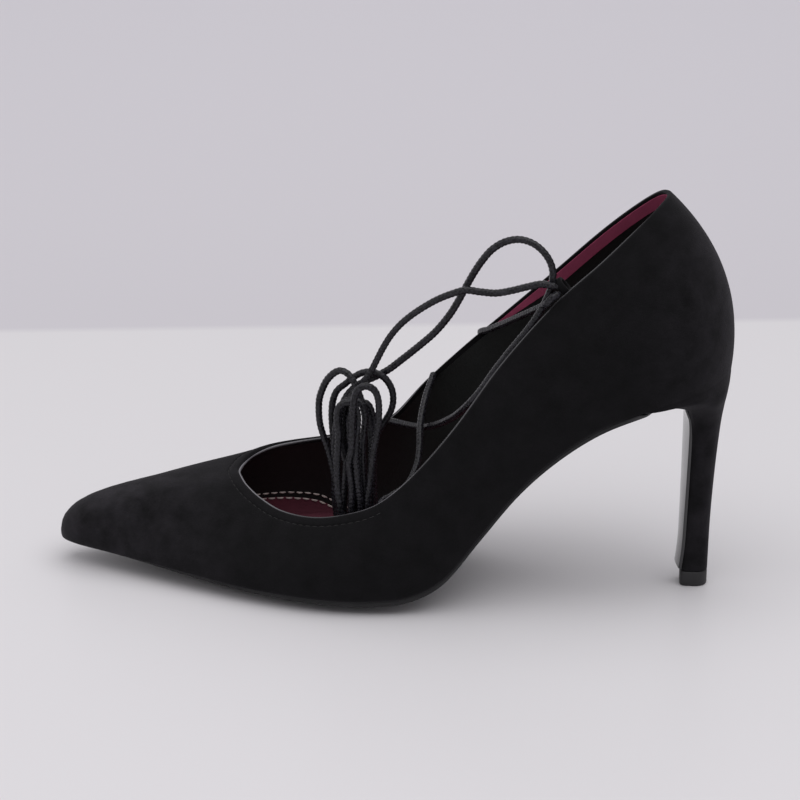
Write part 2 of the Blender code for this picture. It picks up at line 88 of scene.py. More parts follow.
# Ribs of the last from the toe to the back of the heel, from the feather line (foot) to the topline (top).
Rib = namedtuple(
    "Rib",
    "foot_ahead foot_out foot_in top_ahead top_out top_in top_up_out top_up_in rise swell reach drop",
)
RIBS = (
    Rib(TOE_AHEAD, -6.0, -6.0, 157.6, -3.0, -3.0, 35.2, 35.2, 14.0, 8.5, 52.3, 12.9),
    Rib(217.2, -1.8, -9.8, 156.2, 2.7, -10.0, 34.7, 36.0, 16.4, 5.3, 33.6, 14.0),
    Rib(208.4, 3.4, -13.6, 153.3, 8.1, -15.0, 33.5, 37.0, 11.9, 3.4, 17.5, 10.3),
    Rib(192.0, 11.2, -19.0, 147.7, 14.2, -20.4, 31.6, 37.9, 11.5, 2.2, 11.2, 10.9),
    Rib(172.0, 20.4, -26.0, 139.8, 20.8, -25.3, 30.1, 38.2, 10.4, 1.8, 7.0, 8.0),
    Rib(150.0, 29.6, -33.0, 129.0, 26.4, -29.0, 30.6, 39.0, 11.0, 2.2, 6.0, 8.5),
    Rib(128.0, 35.8, -36.9, 117.5, 29.5, -31.0, 33.4, 41.0, 11.0, 2.6, 6.0, 9.0),
    Rib(108.0, 36.6, -36.6, 106.0, 31.0, -31.0, 38.6, 47.0, 12.0, 3.0, 5.5, 11.0),
    Rib(90.0, 34.0, -29.5, 94.5, 30.5, -29.5, 49.2, 61.0, 14.0, 3.0, 4.0, 13.0),
    Rib(74.0, 28.3, -23.0, 81.0, 28.0, -26.5, 65.6, 75.4, 17.0, 3.5, 3.0, 16.0),
    Rib(57.0, 24.6, -20.2, 66.0, 24.5, -23.0, 87.0, 90.0, 18.0, 4.0, 3.0, 18.0),
    Rib(38.0, 24.2, -22.4, 49.0, 21.0, -19.5, 106.8, 106.4, 18.0, 5.0, 4.0, 18.0),
    Rib(18.0, 24.8, -24.4, 34.0, 17.5, -17.0, 120.2, 121.0, 18.0, 5.0, 7.0, 18.0),
    Rib(3.0, 21.6, -21.6, 22.4, 13.2, -13.2, 131.0, 131.5, 20.0, 4.4, 11.0, 17.0),
    Rib(-6.0, 12.5, -12.5, 15.4, 7.4, -7.4, 137.4, 137.6, 24.0, 3.4, 14.6, 15.0),
    Rib(BACK_AHEAD, 0.0, 0.0, 12.9, 0.0, 0.0, 138.8, 138.8, 26.0, 3.4, 15.4, 14.6),
)
RIBS_PER_ROW = 8
RIB_BLEND = 0.5
RIB_BLEND_ROWS = 2
RIB_SAMPLES = 160

# Rows of the upper: distances below the topline, steps between, and distances above the feather line.
TOP_ROWS = (0, 0.4, 0.8, 1.2, 1.6, 2.1, 2.6, 3.0, 3.3, 3.55, 3.8, 4.05, 4.3, 4.7, 5.3, 6.2, 7.4)
MIDDLE_ROWS = 30
FOOT_ROWS = (1.8, 1.1, 0.7, 0.4, 0.2, 0)

# Where the suede turns in at the topline, stands upright above the sole and is tucked under it.
TURNED_ROWS = (0, 1, 2, 3, 4, 5)
TURNED_DEPTH = 2.15
BACK_STEPS = 10
EDGE_EASE = 0.8
LEVEL_HEIGHT = 5.0
TUCK_HEIGHT = 1.6
TUCK_DEPTH = 0.75
SOLE_FADE = 12.0

# The sewn casing round the throat, which fades out on the quarters.
CASING_END = 104.0
CASING_FADE = 14.0
CASING_THREAD = 0.32
TUNNEL_POWER = 0.7
SEAM_DEPTH = 0.3
SEAM_WIDTH = 0.35

# The rolled edge: thinner on the inner side and behind, fuller in front.
ROLL_ROW = 1
ROLL_SIDES = 14
ROLL_SEAT = 0.3
ROLL_BROADNESS = 1.08
ROLL_OUTS = (-12.0, 2.0)
ROLL_SHARES = (0.6, 1.0)
ROLL_AHEADS = (15.0, 26.0, 112.0, 136.0)
ROLL_FULLNESS = (0.6, 1.0, 1.0, 1.45)

# The lining, and the band along the topline of the quarters, which runs to a point in front.
LINING_STEPS = 26
LINING_GAP = 0.03
BAND_JOIN_ROW = 9.5
BAND_TOP = 1.2
# The band stops shallow, so the black lining shows lower down the wall: partly the lining's own colour,
# partly painted shade where the near wall shades it.
BAND_DEPTH = 5.6
BAND_STEPS = 8
BAND_THICK = 0.35
BAND_TAPER = 12
BAND_END = 0.08

# Soft creases of the upper: two ends on the last, how wide the trough is and how deep.
Crease = namedtuple("Crease", "start end width depth")
CREASES = (
    Crease((169.0, -3.0, 33.0), (166.5, 15.0, 24.0), 2.4, 0.28),
    Crease((139.0, 23.5, 29.0), (131.0, 37.0, 12.0), 3.4, 0.28),
    Crease((124.0, 29.5, 31.0), (113.0, 38.5, 14.0), 4.0, 0.32),
    Crease((143.0, -23.5, 36.0), (131.0, -38.0, 14.0), 3.6, 0.30),
    Crease((122.0, -32.0, 38.0), (111.0, -38.5, 15.0), 4.2, 0.32),
    Crease((72.0, 28.5, 60.0), (62.0, 26.0, 52.0), 4.5, 0.25),
    Crease((58.0, 26.5, 82.0), (44.0, 27.0, 70.0), 5.5, 0.25),
)
CREASE_ENDS = (0.04, 0.96)

# The flap down the front of the heel and the level sections of the heel, as in the part.
Flap = namedtuple("Flap", "ahead up half_width")
FLAP = (
    Flap(17.6, 69.9, 24.2),
    Flap(14.8, 70.5, 19.4),
    Flap(12.0, 70.8, 12.8),
    Flap(8.8, 70.0, 9.0),
    Flap(5.4, 68.2, 7.8),
    Flap(3.7, 64.2, 7.3),
    Flap(3.1, 59.0, 7.0),
    Flap(3.2, 43.0, 6.0),
    Flap(3.5, 25.0, 5.0),
    Flap(3.7, 16.5, 4.6),
    Flap(4.1, 11.0, 4.4),
    Flap(4.6, 6.6, 4.3),
)
FLAP_THICK = 0.45
FLAP_CROWN = 0.25
FLAP_BEDDED = 0.6
FLAP_STEPS = 6
Level = namedtuple("Level", "front front_up back back_up half_width")
HEEL = (
    Level(3.9, 5.8, -5.6, 5.8, 4.5),
    Level(3.1, 25.0, -5.9, 25.0, 5.3),
    Level(2.8, 43.0, -6.8, 43.5, 6.6),
    Level(2.7, 57.0, -8.0, 59.0, 8.6),
    Level(3.3, 64.2, -9.0, 67.0, 12.2),
    Level(5.2, 68.7, -9.9, 72.5, 17.0),
    Level(12.5, 71.2, -10.4, 76.0, 23.0),
    Level(20.5, 70.0, -10.7, 78.4, 26.0),
)
HEEL_STEPS = 8
HEEL_SIDES = 72
SEAT_FRONT_AHEAD = 21.5
SEAT_INSET = 0.05
SEAT_GAP = 0.03
SEAT_RINGS = 3
SEAT_HALF_WIDTH = 28.0
BREAST_SKEW = 0.14
SKEW_FULL_UP = 58.0
SKEW_NONE_UP = 68.0
FRONT_SQUARENESS = 6.0
BACK_SQUARENESS = 2.3

# Rings of the heel tip: height above the floor and how far the ring is drawn in.
TIP_RINGS = ((0.0, 0.55), (0.25, 0.2), (0.6, 0.0), (4.9, 0.0), (5.3, 0.15), (5.5, 0.5))

# Stations and thicknesses of the sole and the sock.
SOLE_SHARES = np.linspace(-1, 1, 25)
TOE_STEPS = (3.4, 3.6, 4.0, 4.6, 5.4, 6.4, 7.6, 9.0, 10.5, 12.0, 14.0)
SOLE_STEP = 2.0
FULL_WIDTH_AHEAD = 20.5
SHANK_AHEAD = 80.0
TREAD_AHEAD = 108.0
TREAD_THICK = 3.2
SHANK_THICK = 2.0
EDGE_THICK = 1.9
OUTSOLE_INSET = 0.8
TOE_INSET = 2.6
TOE_INSET_AHEAD = 160.0
SKIVE_AHEAD = 172.0
SKIVE_SHARE = 0.25
SLOPE_STEP = 1.0
EDGE_ROUND = 0.45
ROUND_OF_DEPTH = 0.35
ROUND_OF_STEP = 0.6
CORNER_SHARE = 0.29
SOCK_THICK = 2.0
SOCK_PUFF = 0.5
SOCK_BACK_CLEAR = 0.8
SOCK_TOE_CLEAR = 9.0
SOCK_SIDE_CLEAR = 0.35
SOCK_STATIONS = 130
NARROWEST_HALF = 1.2
SOCK_SEAM_INSETS = (2.6, 5.2)
SOCK_SEAM_END = 116.0
SOCK_SEAM_ROOM = 2.0
SOCK_THREAD = 0.72

# One stitch: the gap to the next, its rings and sides, and how its thread arches, dips and thins, in threads.
STITCH_GAP = 0.7
STITCH_RINGS = 5
STITCH_SIDES = 6
STITCH_ARCH = 0.55
STITCH_SUNK = 0.25
STITCH_TAPER = 0.45

# The rim that the sock turns up on the wall in front: heights of its upper seam above the feather line.
RIM_AHEADS = (117.0, 122.0, 128.0, 132.0, 136.5, 145.0, 153.0, 200.0)
RIM_HEIGHTS = (1.6, 3.9, 7.2, 9.2, 10.4, 11.8, 12.3, 12.3)
RIM_SEAM_GAP = 2.3
RIM_MARGIN = 0.2
RIM_THICK = 0.5
RIM_STEPS = 8
RIM_FOOT = 0.6
RIM_LOWEST = 0.8

# The small loop on the outer topline: its middle, its size and the slope of the topline there.
KEEPER_AHEAD = 46.4
KEEPER_OUT = 16.8
KEEPER_UP = 111.6
KEEPER_RADIUS = 2.7
KEEPER_HALF_WIDTH = 1.3
KEEPER_HALF_THICK = 0.7
KEEPER_SIDES = 40
KEEPER_BAND_SIDES = 16
KEEPER_SQUARENESS = 3.5
KEEPER_SLOPE = math.radians(42.0)

# The lace: the run across the throat, the run across the instep, and the two long ends with their loops.
THROAT_RUN = (
    (106.2, 31.6, 38.4), (105.0, 28.2, 38.8), (102.4, 24.2, 38.9), (97.9, 17.0, 40.0), (95.2, 8.5, 43.7),
    (94.6, 2.0, 47.9), (94.8, -5.6, 54.0), (93.8, -15.0, 59.6), (92.2, -25.0, 63.4), (91.6, -29.4, 64.4),
)
INSTEP_RUN = (
    (47.4, 20.6, 110.6), (49.8, 22.6, 109.6), (51.6, 22.2, 107.4), (53.6, 18.4, 105.0), (60.4, 5.0, 97.4),
    (67.2, -8.6, 89.9), (72.2, -18.4, 84.6), (74.4, -22.9, 82.6), (75.4, -26.2, 80.7),
)
INNER_END = (
    (48.2, 20.8, 112.6), (53.3, 21.2, 113.7), (58.3, 20.8, 112.5), (63.2, 20.3, 111.0),
    (68.3, 19.6, 109.8), (73.4, 18.7, 109.8), (78.5, 17.8, 110.0), (83.3, 16.9, 108.3),
    (87.9, 16.0, 106.0), (92.2, 15.2, 103.2), (96.3, 14.6, 100.1), (100.1, 14.1, 96.6),
    (103.4, 13.7, 92.5), (106.0, 13.4, 88.1), (108.3, 13.3, 83.4), (110.6, 13.5, 78.8),
    (113.7, 13.9, 74.7), (117.0, 14.2, 70.7), (119.0, 14.4, 65.9), (119.4, 14.4, 60.8),
    (119.0, 14.6, 55.6), (118.6, 15.0, 50.4), (118.7, 15.6, 45.3), (119.0, 16.3, 40.1),
    (119.3, 16.8, 35.0), (119.4, 17.2, 30.0), (118.9, 17.4, 25.0), (118.2, 17.5, 21.6),
    (116.4, 17.7, 19.0), (113.6, 17.9, 18.4), (111.3, 18.0, 20.3), (110.3, 18.1, 23.5),
    (110.0, 18.2, 26.9), (109.9, 18.3, 31.9), (109.9, 18.3, 37.0), (110.0, 18.3, 42.2),
    (109.9, 18.3, 47.4), (109.8, 18.2, 52.6), (110.0, 18.0, 57.8), (110.8, 17.9, 62.9),
    (112.3, 17.7, 67.9), (113.5, 17.2, 71.2), (114.8, 16.5, 74.3), (116.4, 15.8, 77.3),
    (118.1, 15.0, 79.0), (120.4, 14.0, 79.6), (122.8, 13.0, 78.3), (125.3, 12.0, 75.4),
    (127.0, 11.2, 71.8), (128.1, 10.6, 68.1), (128.4, 10.2, 64.0), (128.1, 9.9, 59.1), (127.0, 9.8, 54.7),
    (125.6, 9.9, 50.4), (124.4, 10.1, 46.0), (123.5, 10.5, 41.8), (122.8, 10.9, 37.6),
    (122.3, 11.4, 33.4), (121.9, 11.7, 28.3), (121.6, 12.2, 23.2), (121.1, 12.9, 18.3),
    (119.8, 14.7, 13.9), (116.5, 17.4, 12.3), (113.7, 19.8, 15.2), (112.5, 20.9, 19.8),
    (112.0, 21.4, 24.8), (111.9, 21.5, 29.9), (111.8, 21.5, 35.1), (111.9, 21.5, 40.2),
    (112.2, 21.4, 45.4), (112.5, 21.3, 50.6), (112.5, 21.2, 55.8), (112.0, 21.1, 61.0),
    (111.7, 21.0, 66.1), (113.4, 20.3, 70.6), (117.7, 18.7, 70.8), (120.3, 17.6, 66.8),
    (120.9, 17.2, 61.8), (120.5, 17.4, 56.7), (119.4, 18.0, 51.7), (117.8, 19.0, 46.8),
    (116.3, 19.7, 41.9), (115.6, 20.1, 36.8), (115.5, 20.3, 31.6), (115.8, 20.2, 26.5),
    (116.3, 20.1, 21.5), (116.7, 20.1, 16.6), (116.4, 21.3, 12.1), (114.1, 24.9, 12.2),
    (113.6, 26.6, 16.6), (113.5, 25.5, 21.5), (113.2, 24.8, 26.5), (113.0, 24.4, 31.5),
    (113.1, 24.5, 36.7), (113.6, 24.8, 41.9), (114.1, 25.0, 47.0), (114.5, 25.2, 52.2),
    (114.5, 25.2, 57.4), (114.0, 25.0, 62.5), (113.8, 24.7, 67.4), (114.8, 24.5, 70.7),
    (117.3, 24.3, 72.0), (119.8, 24.2, 70.7), (120.8, 24.0, 67.2), (120.4, 23.8, 60.8),
    (120.6, 24.0, 55.7), (120.9, 24.3, 50.5), (121.0, 24.6, 45.3), (120.7, 24.8, 40.1),
    (120.0, 24.8, 35.0), (119.3, 24.6, 29.9), (118.6, 24.5, 25.0), (118.0, 24.4, 18.6),
    (116.9, 24.5, 15.6), (114.1, 24.7, 14.3), (111.4, 24.8, 15.6), (110.3, 24.9, 18.6),
    (110.3, 24.9, 22.8), (110.4, 24.7, 27.5), (110.5, 24.6, 32.6), (110.5, 24.5, 37.7),
    (109.9, 24.2, 42.9), (109.4, 24.1, 48.1), (108.8, 24.1, 53.3), (107.9, 24.3, 58.5),
    (107.1, 24.5, 63.6), (106.7, 24.8, 68.7), (106.9, 25.3, 73.7), (108.2, 25.7, 77.1),
    (111.0, 26.2, 78.6), (113.7, 26.8, 77.2), (114.9, 27.2, 73.6), (115.2, 27.4, 69.6),
    (115.4, 27.4, 65.2), (115.6, 27.0, 60.3), (115.9, 26.2, 55.4), (116.9, 25.2, 50.3),
    (116.4, 24.6, 45.2), (116.1, 24.3, 40.0), (116.3, 24.3, 34.8), (116.5, 24.3, 29.6),
    (116.4, 24.4, 27.0),
)
OUTER_END = (
    (109.0, -31.4, 45.2), (107.2, -27.1, 46.9), (103.4, -23.5, 47.5), (100.2, -19.5, 48.4),
    (97.3, -15.3, 49.5), (94.7, -11.0, 50.9), (92.3, -6.7, 52.6), (90.0, -2.5, 54.7), (87.9, 1.7, 56.9),
    (85.8, 5.9, 59.3), (83.9, 10.1, 61.8), (81.9, 14.2, 64.4), (80.0, 18.0, 67.3), (77.9, 21.6, 70.5),
    (75.3, 24.0, 74.2), (72.2, 24.3, 78.4), (69.3, 23.4, 82.7), (66.3, 22.8, 86.9), (63.2, 22.1, 91.0),
    (59.9, 21.5, 95.1), (56.8, 20.9, 99.2), (54.0, 20.2, 103.6), (51.7, 19.1, 108.1), (50.1, 18.2, 112.9),
    (50.1, 17.6, 118.0), (52.3, 17.1, 122.5), (56.2, 16.3, 125.8), (61.0, 15.3, 127.0),
    (65.9, 14.4, 125.8), (70.1, 13.8, 122.9), (73.3, 13.2, 118.9), (76.0, 12.7, 114.5),
    (78.4, 12.3, 109.9), (80.7, 11.8, 105.2), (83.2, 11.4, 100.6), (86.1, 10.9, 96.3), (89.4, 10.5, 92.3),
    (93.1, 10.0, 88.7), (96.9, 9.4, 85.2), (100.8, 8.7, 81.7), (104.7, 8.2, 78.4), (109.2, 8.1, 75.7),
    (113.8, 8.8, 73.6), (117.8, 10.1, 70.6), (120.3, 11.3, 66.3), (121.8, 12.0, 61.4),
    (122.6, 12.4, 56.2), (122.9, 12.7, 51.1), (122.5, 13.2, 45.9), (121.8, 13.6, 40.7),
    (121.2, 14.0, 35.6), (120.8, 14.3, 30.4), (120.2, 14.4, 25.3), (119.4, 14.3, 20.4),
    (118.0, 13.8, 15.7), (116.0, 12.9, 11.4), (112.1, 11.6, 12.1), (110.2, 11.2, 16.5),
    (109.5, 11.1, 21.5), (109.3, 11.0, 26.5), (109.3, 11.0, 31.7), (109.5, 11.0, 36.8),
    (109.6, 11.0, 42.0), (109.6, 11.0, 47.3), (109.2, 10.9, 52.5), (107.9, 10.7, 57.0),
    (105.7, 10.4, 60.8), (103.8, 10.4, 64.4), (103.0, 10.5, 68.4), (103.6, 10.7, 72.6),
    (106.0, 10.9, 76.4), (109.9, 10.8, 78.2), (113.6, 10.1, 77.6), (116.6, 9.2, 75.6), (119.4, 8.5, 73.0),
    (122.2, 7.9, 70.4), (123.7, 7.6, 66.8), (124.2, 7.4, 62.4), (124.1, 7.2, 57.4), (123.7, 7.2, 52.4),
    (123.5, 7.2, 47.2), (123.5, 7.3, 42.0), (123.4, 7.7, 36.7), (123.4, 8.1, 31.4), (122.9, 8.4, 26.3),
    (122.3, 8.8, 21.2), (121.6, 9.2, 16.2), (120.2, 9.9, 11.4), (117.3, 11.1, 7.8), (113.2, 13.0, 8.4),
    (110.9, 14.1, 12.5), (110.0, 14.4, 17.4), (109.6, 14.6, 22.4), (109.4, 14.7, 27.6),
    (109.4, 14.7, 32.7), (109.6, 14.7, 37.9), (109.6, 14.7, 43.2), (109.5, 14.7, 48.4),
    (109.2, 14.6, 53.6), (109.2, 14.5, 58.8), (109.7, 14.4, 63.8), (111.6, 14.6, 68.3),
    (115.7, 16.1, 68.4), (117.2, 17.0, 63.9), (117.4, 17.0, 58.7), (117.0, 17.0, 53.6),
    (116.4, 17.1, 48.4), (115.9, 17.2, 43.2), (115.6, 17.6, 38.0),
)
PATH_STEPS = 12
RING_STEP = 0.42
CORD_SIDES = 18
BRAID_BUMPS = 6
TIP_LENGTH = 1.6
TIP_LEAST = 0.12

# Camera and stage, in metres in the part's own frame.
CAMERA_SPOT = (0.06372, -0.82264, 0.3609)
CAMERA_AIM = (0.0056, -0.0212, 0.0721)
CAMERA_LENS = 115.0
SENSOR_WIDTH = 36.0
FLOOR_SPAN = 8.0
FLOOR_TURN = math.radians(6.73)
FLOOR_EDGE = 0.279
FLOOR_BLUR = 0.004
GROUND_FAR = 1.05
Light = namedtuple("Light", "name spot size power")
LIGHTS = (
    Light("soft_box_above", (0.2, -0.25, 1.6), 2.4, 19.4),
    Light("soft_box_left", (-1.3, -0.3, 0.9), 1.0, 3.2),
)
LIGHT_AIM = (0.0, 0.0, 0.05)
SKY_COLOUR = "#eae8eb"
SKY_STRENGTH = 0.58

# How the sole's burnish begins above the heel, and how dark the turned side of a thread is.
BURNISH_FADE = 4.0
BURNISH_COAT = 0.6
THREAD_SHADE = 0.6

# A Mix node that blends colours: its setting, its output, and its sockets for the share and both colours.
BLEND = {"data_type": "RGBA", "out": 2}
SHARE = 0
FIRST = 6
SECOND = 7


def linear(code):
    """An sRGB hex code as the linear colour that a shader takes."""
    parts = [int(code[k : k + 2], 16) / 255 for k in (1, 3, 5)]
    return tuple(c / 12.92 if c <= 0.04045 else ((c + 0.055) / 1.055) ** 2.4 for c in parts) + (1.0,)


class PumpSizes(bpy.types.PropertyGroup):
    """Sizes that a shoemaker would change."""

    wall: bpy.props.FloatProperty(
        name="Wall", description="Suede and lining together", default=1.6 * MM, unit="LENGTH"
    )
    suede: bpy.props.FloatProperty(
        name="Suede", description="Thickness of the suede alone", default=0.9 * MM, unit="LENGTH"
    )
    casing: bpy.props.FloatProperty(
        name="Casing", description="Depth of the sewn tunnel", default=3.7 * MM, unit="LENGTH"
    )
    casing_swell: bpy.props.FloatProperty(
        name="Casing swell", description="How far the tunnel stands proud", default=0.25 * MM, unit="LENGTH"
    )
    binding: bpy.props.FloatProperty(
        name="Binding", description="Diameter of the rolled edge", default=1.1 * MM, unit="LENGTH"
    )
    cord: bpy.props.FloatProperty(
        name="Cord", description="Diameter of the lace", default=2.6 * MM, unit="LENGTH"
    )
    bead: bpy.props.FloatProperty(
        name="Braid bead", description="Length of one bump of the braid", default=1.5 * MM, unit="LENGTH"
    )
    relief: bpy.props.FloatProperty(
        name="Braid relief", description="Height of the bumps of the braid", default=0.3 * MM, unit="LENGTH"
    )
    sock_stitch: bpy.props.FloatProperty(
        name="Sock stitch", description="Length of its stitches", default=2.4 * MM, unit="LENGTH"
    )
    casing_stitch: bpy.props.FloatProperty(
        name="Casing stitch", description="Length of its stitches", default=1.9 * MM, unit="LENGTH"
    )


class PumpColours(bpy.types.PropertyGroup):
    """Colours that a shoemaker would change."""

    suede: bpy.props.FloatVectorProperty(
        name="Suede", description="Nap lying flat", subtype="COLOR", size=4, default=linear("#0c0c0d")
    )
    # The raised colour also serves as painted light on the toe and down the heel.
    suede_raised_and_lit: bpy.props.FloatVectorProperty(
        name="Raised suede", description="Nap brushed up", subtype="COLOR", size=4, default=linear("#2b292d")
    )
    binding: bpy.props.FloatVectorProperty(
        name="Binding", description="Rolled edge", subtype="COLOR", size=4, default=linear("#323135")
    )
    # The worn colour is painted highlight along the roll.
    binding_highlight: bpy.props.FloatVectorProperty(
        name="Worn binding", description="Rubbed edge", subtype="COLOR", size=4, default=linear("#737176")
    )
    sole: bpy.props.FloatVectorProperty(
        name="Sole leather", description="Painted sole", subtype="COLOR", size=4, default=linear("#141416")
    )
    sock: bpy.props.FloatVectorProperty(
        name="Sock leather", description="Sock and rim", subtype="COLOR", size=4, default=linear("#703a48")
    )
    quarter_lining: bpy.props.FloatVectorProperty(
        name="Quarter lining", description="Band behind", subtype="COLOR", size=4, default=linear("#ac4c6c")
    )
    vamp_lining: bpy.props.FloatVectorProperty(
        name="Lining", description="Lining all round", subtype="COLOR", size=4, default=linear("#191c1b")
    )
    rubber: bpy.props.FloatVectorProperty(
        name="Heel tip", description="Moulded tip", subtype="COLOR", size=4, default=linear("#19181a")
    )
    cord: bpy.props.FloatVectorProperty(
        name="Lace", description="Waxed cotton", subtype="COLOR", size=4, default=linear("#0b0b0d")
    )
    thread: bpy.props.FloatVectorProperty(
        name="Sock thread", description="Its stitches", subtype="COLOR", size=4, default=linear("#e6d8d3")
    )
    floor: bpy.props.FloatVectorProperty(
        name="Floor", description="Pale table", subtype="COLOR", size=4, default=linear("#dddbde")
    )
    ground: bpy.props.FloatVectorProperty(
        name="Ground", description="Behind the table", subtype="COLOR", size=4, default=linear("#cecbd1")
    )
    # The far colour is painted light that makes up for the lamps' falloff far behind.
    ground_far_painted_light: bpy.props.FloatVectorProperty(
        name="Far ground", description="Far behind it", subtype="COLOR", size=4, default=linear("#e5e2e9")
    )


def in_frame(points):
    """The part's own coordinates, in metres, of points in a last maker's measures."""
    points = np.asarray(points, float)
    flipped = np.array([ORIGIN_AHEAD, ORIGIN_OUT, 0.0]) + points * np.array([-1.0, -1.0, 1.0])
    return flipped * MM


def smooth(stations, values, at, closed=False):
    """Values on a smooth curve through the rows of a table, at stations in rising order."""
    stations = np.asarray(stations, float)
    values = np.asarray(values, float)
    if closed:
        period = len(stations)
        stations = np.concatenate([stations - period, stations, stations + period])
        values = np.concatenate([values, values, values])
    steps = np.diff(stations)
    slopes = np.diff(values, axis=0) / steps.reshape((-1,) + (1,) * (values.ndim - 1))
    tangents = np.concatenate([slopes[:1], (slopes[:-1] + slopes[1:]) / 2, slopes[-1:]])
    at = np.clip(np.asarray(at, float), stations[0], stations[-1])
    i = np.clip(np.searchsorted(stations, at, side="right") - 1, 0, len(steps) - 1)
    step = steps[i]
    t = (at - stations[i]) / step
    if values.ndim > 1:
        step = step[:, None]
        t = t[:, None]
    rise = values[i] * (1 + 2 * t) * (1 - t) ** 2 + values[i + 1] * t**2 * (3 - 2 * t)
    return rise + step * (tangents[i] * t * (1 - t) ** 2 - tangents[i + 1] * t**2 * (1 - t))


def lengths_along(line):
    return np.concatenate([[0], np.cumsum(np.linalg.norm(np.diff(line, axis=0), axis=1))])


def between(stations, rows, at):
    """Rows of a table at stations between its own."""
    return np.column_stack([np.interp(at, stations, rows[:, k]) for k in range(3)])


def at_lengths(line, wanted):
    """Points of a polyline at distances along it."""
    return between(lengths_along(line), line, wanted)


def smooth_between(rows, steps):
    """Smooth curves through key rows, with a number of steps from each row to the next."""
    rows = np.asarray(rows, float)
    count = len(rows)
    at = np.linspace(0, count - 1, (count - 1) * steps + 1)
    return smooth(np.arange(count), rows.reshape(count, -1), at).reshape((len(at),) + rows.shape[1:])


def unit(vectors):
    return vectors / np.linalg.norm(vectors, axis=-1, keepdims=True)


def full_turn(count):
    """Angles evenly spaced round a full turn."""
    return np.linspace(0, 2 * np.pi, count, endpoint=False)


def squared(wave, squareness):
    """A sine or cosine bent so that the outline it draws is squarer than a circle."""
    return np.sign(wave) * np.abs(wave) ** (2 / squareness)


def bottom_up(ahead):
    """Height of the feather line at a station."""
    rows = BOTTOM[::-1]
    return smooth([r.ahead for r in rows], [r.up for r in rows], ahead)


def crown(ahead):
    """How far the middle of the sole hangs below its edges."""
    rows = BOTTOM[::-1]
    return smooth([r.ahead for r in rows], [r.crown for r in rows], ahead)


def loop_ribs():
    """The ribs of both sides in order round the shoe, from the toe along the outer side."""
    outer = [
        (r.foot_ahead, r.foot_out, r.top_ahead, r.top_out, r.top_up_out, r.rise, r.swell, r.reach, r.drop)
        for r in RIBS
    ]
    inner = [
        (r.foot_ahead, r.foot_in, r.top_ahead, r.top_in, r.top_up_in, r.rise, r.swell, r.reach, r.drop)
        for r in RIBS[-2:0:-1]
    ]
    table = np.array(outer + inner, float)
    rows = len(table)
    at = np.arange(rows * RIBS_PER_ROW) / RIBS_PER_ROW
    return smooth(np.arange(rows), table, at, closed=True)


def plan_normals(plan):
    """Outward directions, seen from above, of a closed loop that runs from the toe along the outer side."""
    along = np.roll(plan, -1, axis=0) - np.roll(plan, 1, axis=0)
    return unit(np.stack([along[:, 1], -along[:, 0]], axis=1))


def blend_ribs(ways):
    """Directions round the shoe, each blended with its neighbours', so that the toe leaves no groove."""
    offsets = np.arange(-RIB_BLEND_ROWS * RIBS_PER_ROW, RIB_BLEND_ROWS * RIBS_PER_ROW + 1)
    weights = np.exp(-((offsets / (RIB_BLEND * RIBS_PER_ROW)) ** 2) / 2)
    return unit(sum(w * np.roll(ways, k, axis=0) for k, w in zip(offsets, weights)))


def last_lines():
    """One finely sampled line for each rib of the last, which is the inside of the upper."""
    rib = loop_ribs()
    foot = np.column_stack([rib[:, 0], rib[:, 1], bottom_up(rib[:, 0])])
    top = rib[:, 2:5]
    rise, swell, reach, drop = (rib[:, k : k + 1] for k in range(5, 9))
    level = np.zeros((len(rib), 1))
    foot_out = np.hstack([plan_normals(foot[:, :2]), level])
    top_out = np.hstack([plan_normals(top[:, :2]), level])
    climb = top - foot
    climb = blend_ribs(unit(climb - foot_out * (climb * foot_out).sum(1, keepdims=True)))
    first = foot + foot_out * swell + climb * rise
    second = top + top_out * reach - climb * drop
    t = np.linspace(0, 1, RIB_SAMPLES)[:, None]
    return [
        a * (1 - t) ** 3 + 3 * b * t * (1 - t) ** 2 + 3 * c * t**2 * (1 - t) + d * t**3
        for a, b, c, d in zip(foot, first, second, top)
    ]


def grid_normals(grid):
    """Outward normals of a grid that closes on itself along its first index."""
    round_shoe = np.roll(grid, -1, axis=0) - np.roll(grid, 1, axis=0)
    up_wall = np.gradient(grid, axis=1)
    return unit(np.cross(round_shoe, up_wall))


def lasted_grid():
    """Rows of points on the last from the feather line up, their normals and distances from the topline."""
    grid = []
    below = []
    for line in last_lines():
        whole = lengths_along(line)[-1]
        middle = np.linspace(whole - TOP_ROWS[-1], FOOT_ROWS[0], MIDDLE_ROWS + 1)[1:-1]
        up = np.concatenate([whole - np.array(TOP_ROWS), middle, FOOT_ROWS])[::-1]
        grid.append(at_lengths(line, up))
        below.append(whole - up)
    grid = np.array(grid)
    return grid, grid_normals(grid), np.array(below)


def crease_depth(points):
    """How far the soft creases draw points of the suede in."""
    depth = np.zeros(points.shape[:-1])
    for crease in CREASES:
        start = np.array(crease.start)
        run = np.array(crease.end) - start
        share = np.clip(((points - start) @ run) / (run @ run), 0, 1)
        away = np.linalg.norm(points - start - share[..., None] * run, axis=-1)
        fade = np.sin(np.pi * np.clip(share, *CREASE_ENDS))
        depth += crease.depth * fade * np.exp(-((away / crease.width) ** 2))
    return depth


def ring_faces(rings, sides, closed=False):
    """Quads between rings of points that follow each other, for a list made ring by ring."""
    last = rings if closed else rings - 1
    return [
        (
            i * sides + j,
            i * sides + (j + 1) % sides,
            (i + 1) % rings * sides + (j + 1) % sides,
            (i + 1) % rings * sides + j,
        )
        for i in range(last)
        for j in range(sides)
    ]


def end_faces(rings, sides):
    """The two faces that close a row of rings."""
    return [tuple(range(sides)), tuple(range((rings - 1) * sides, rings * sides))]


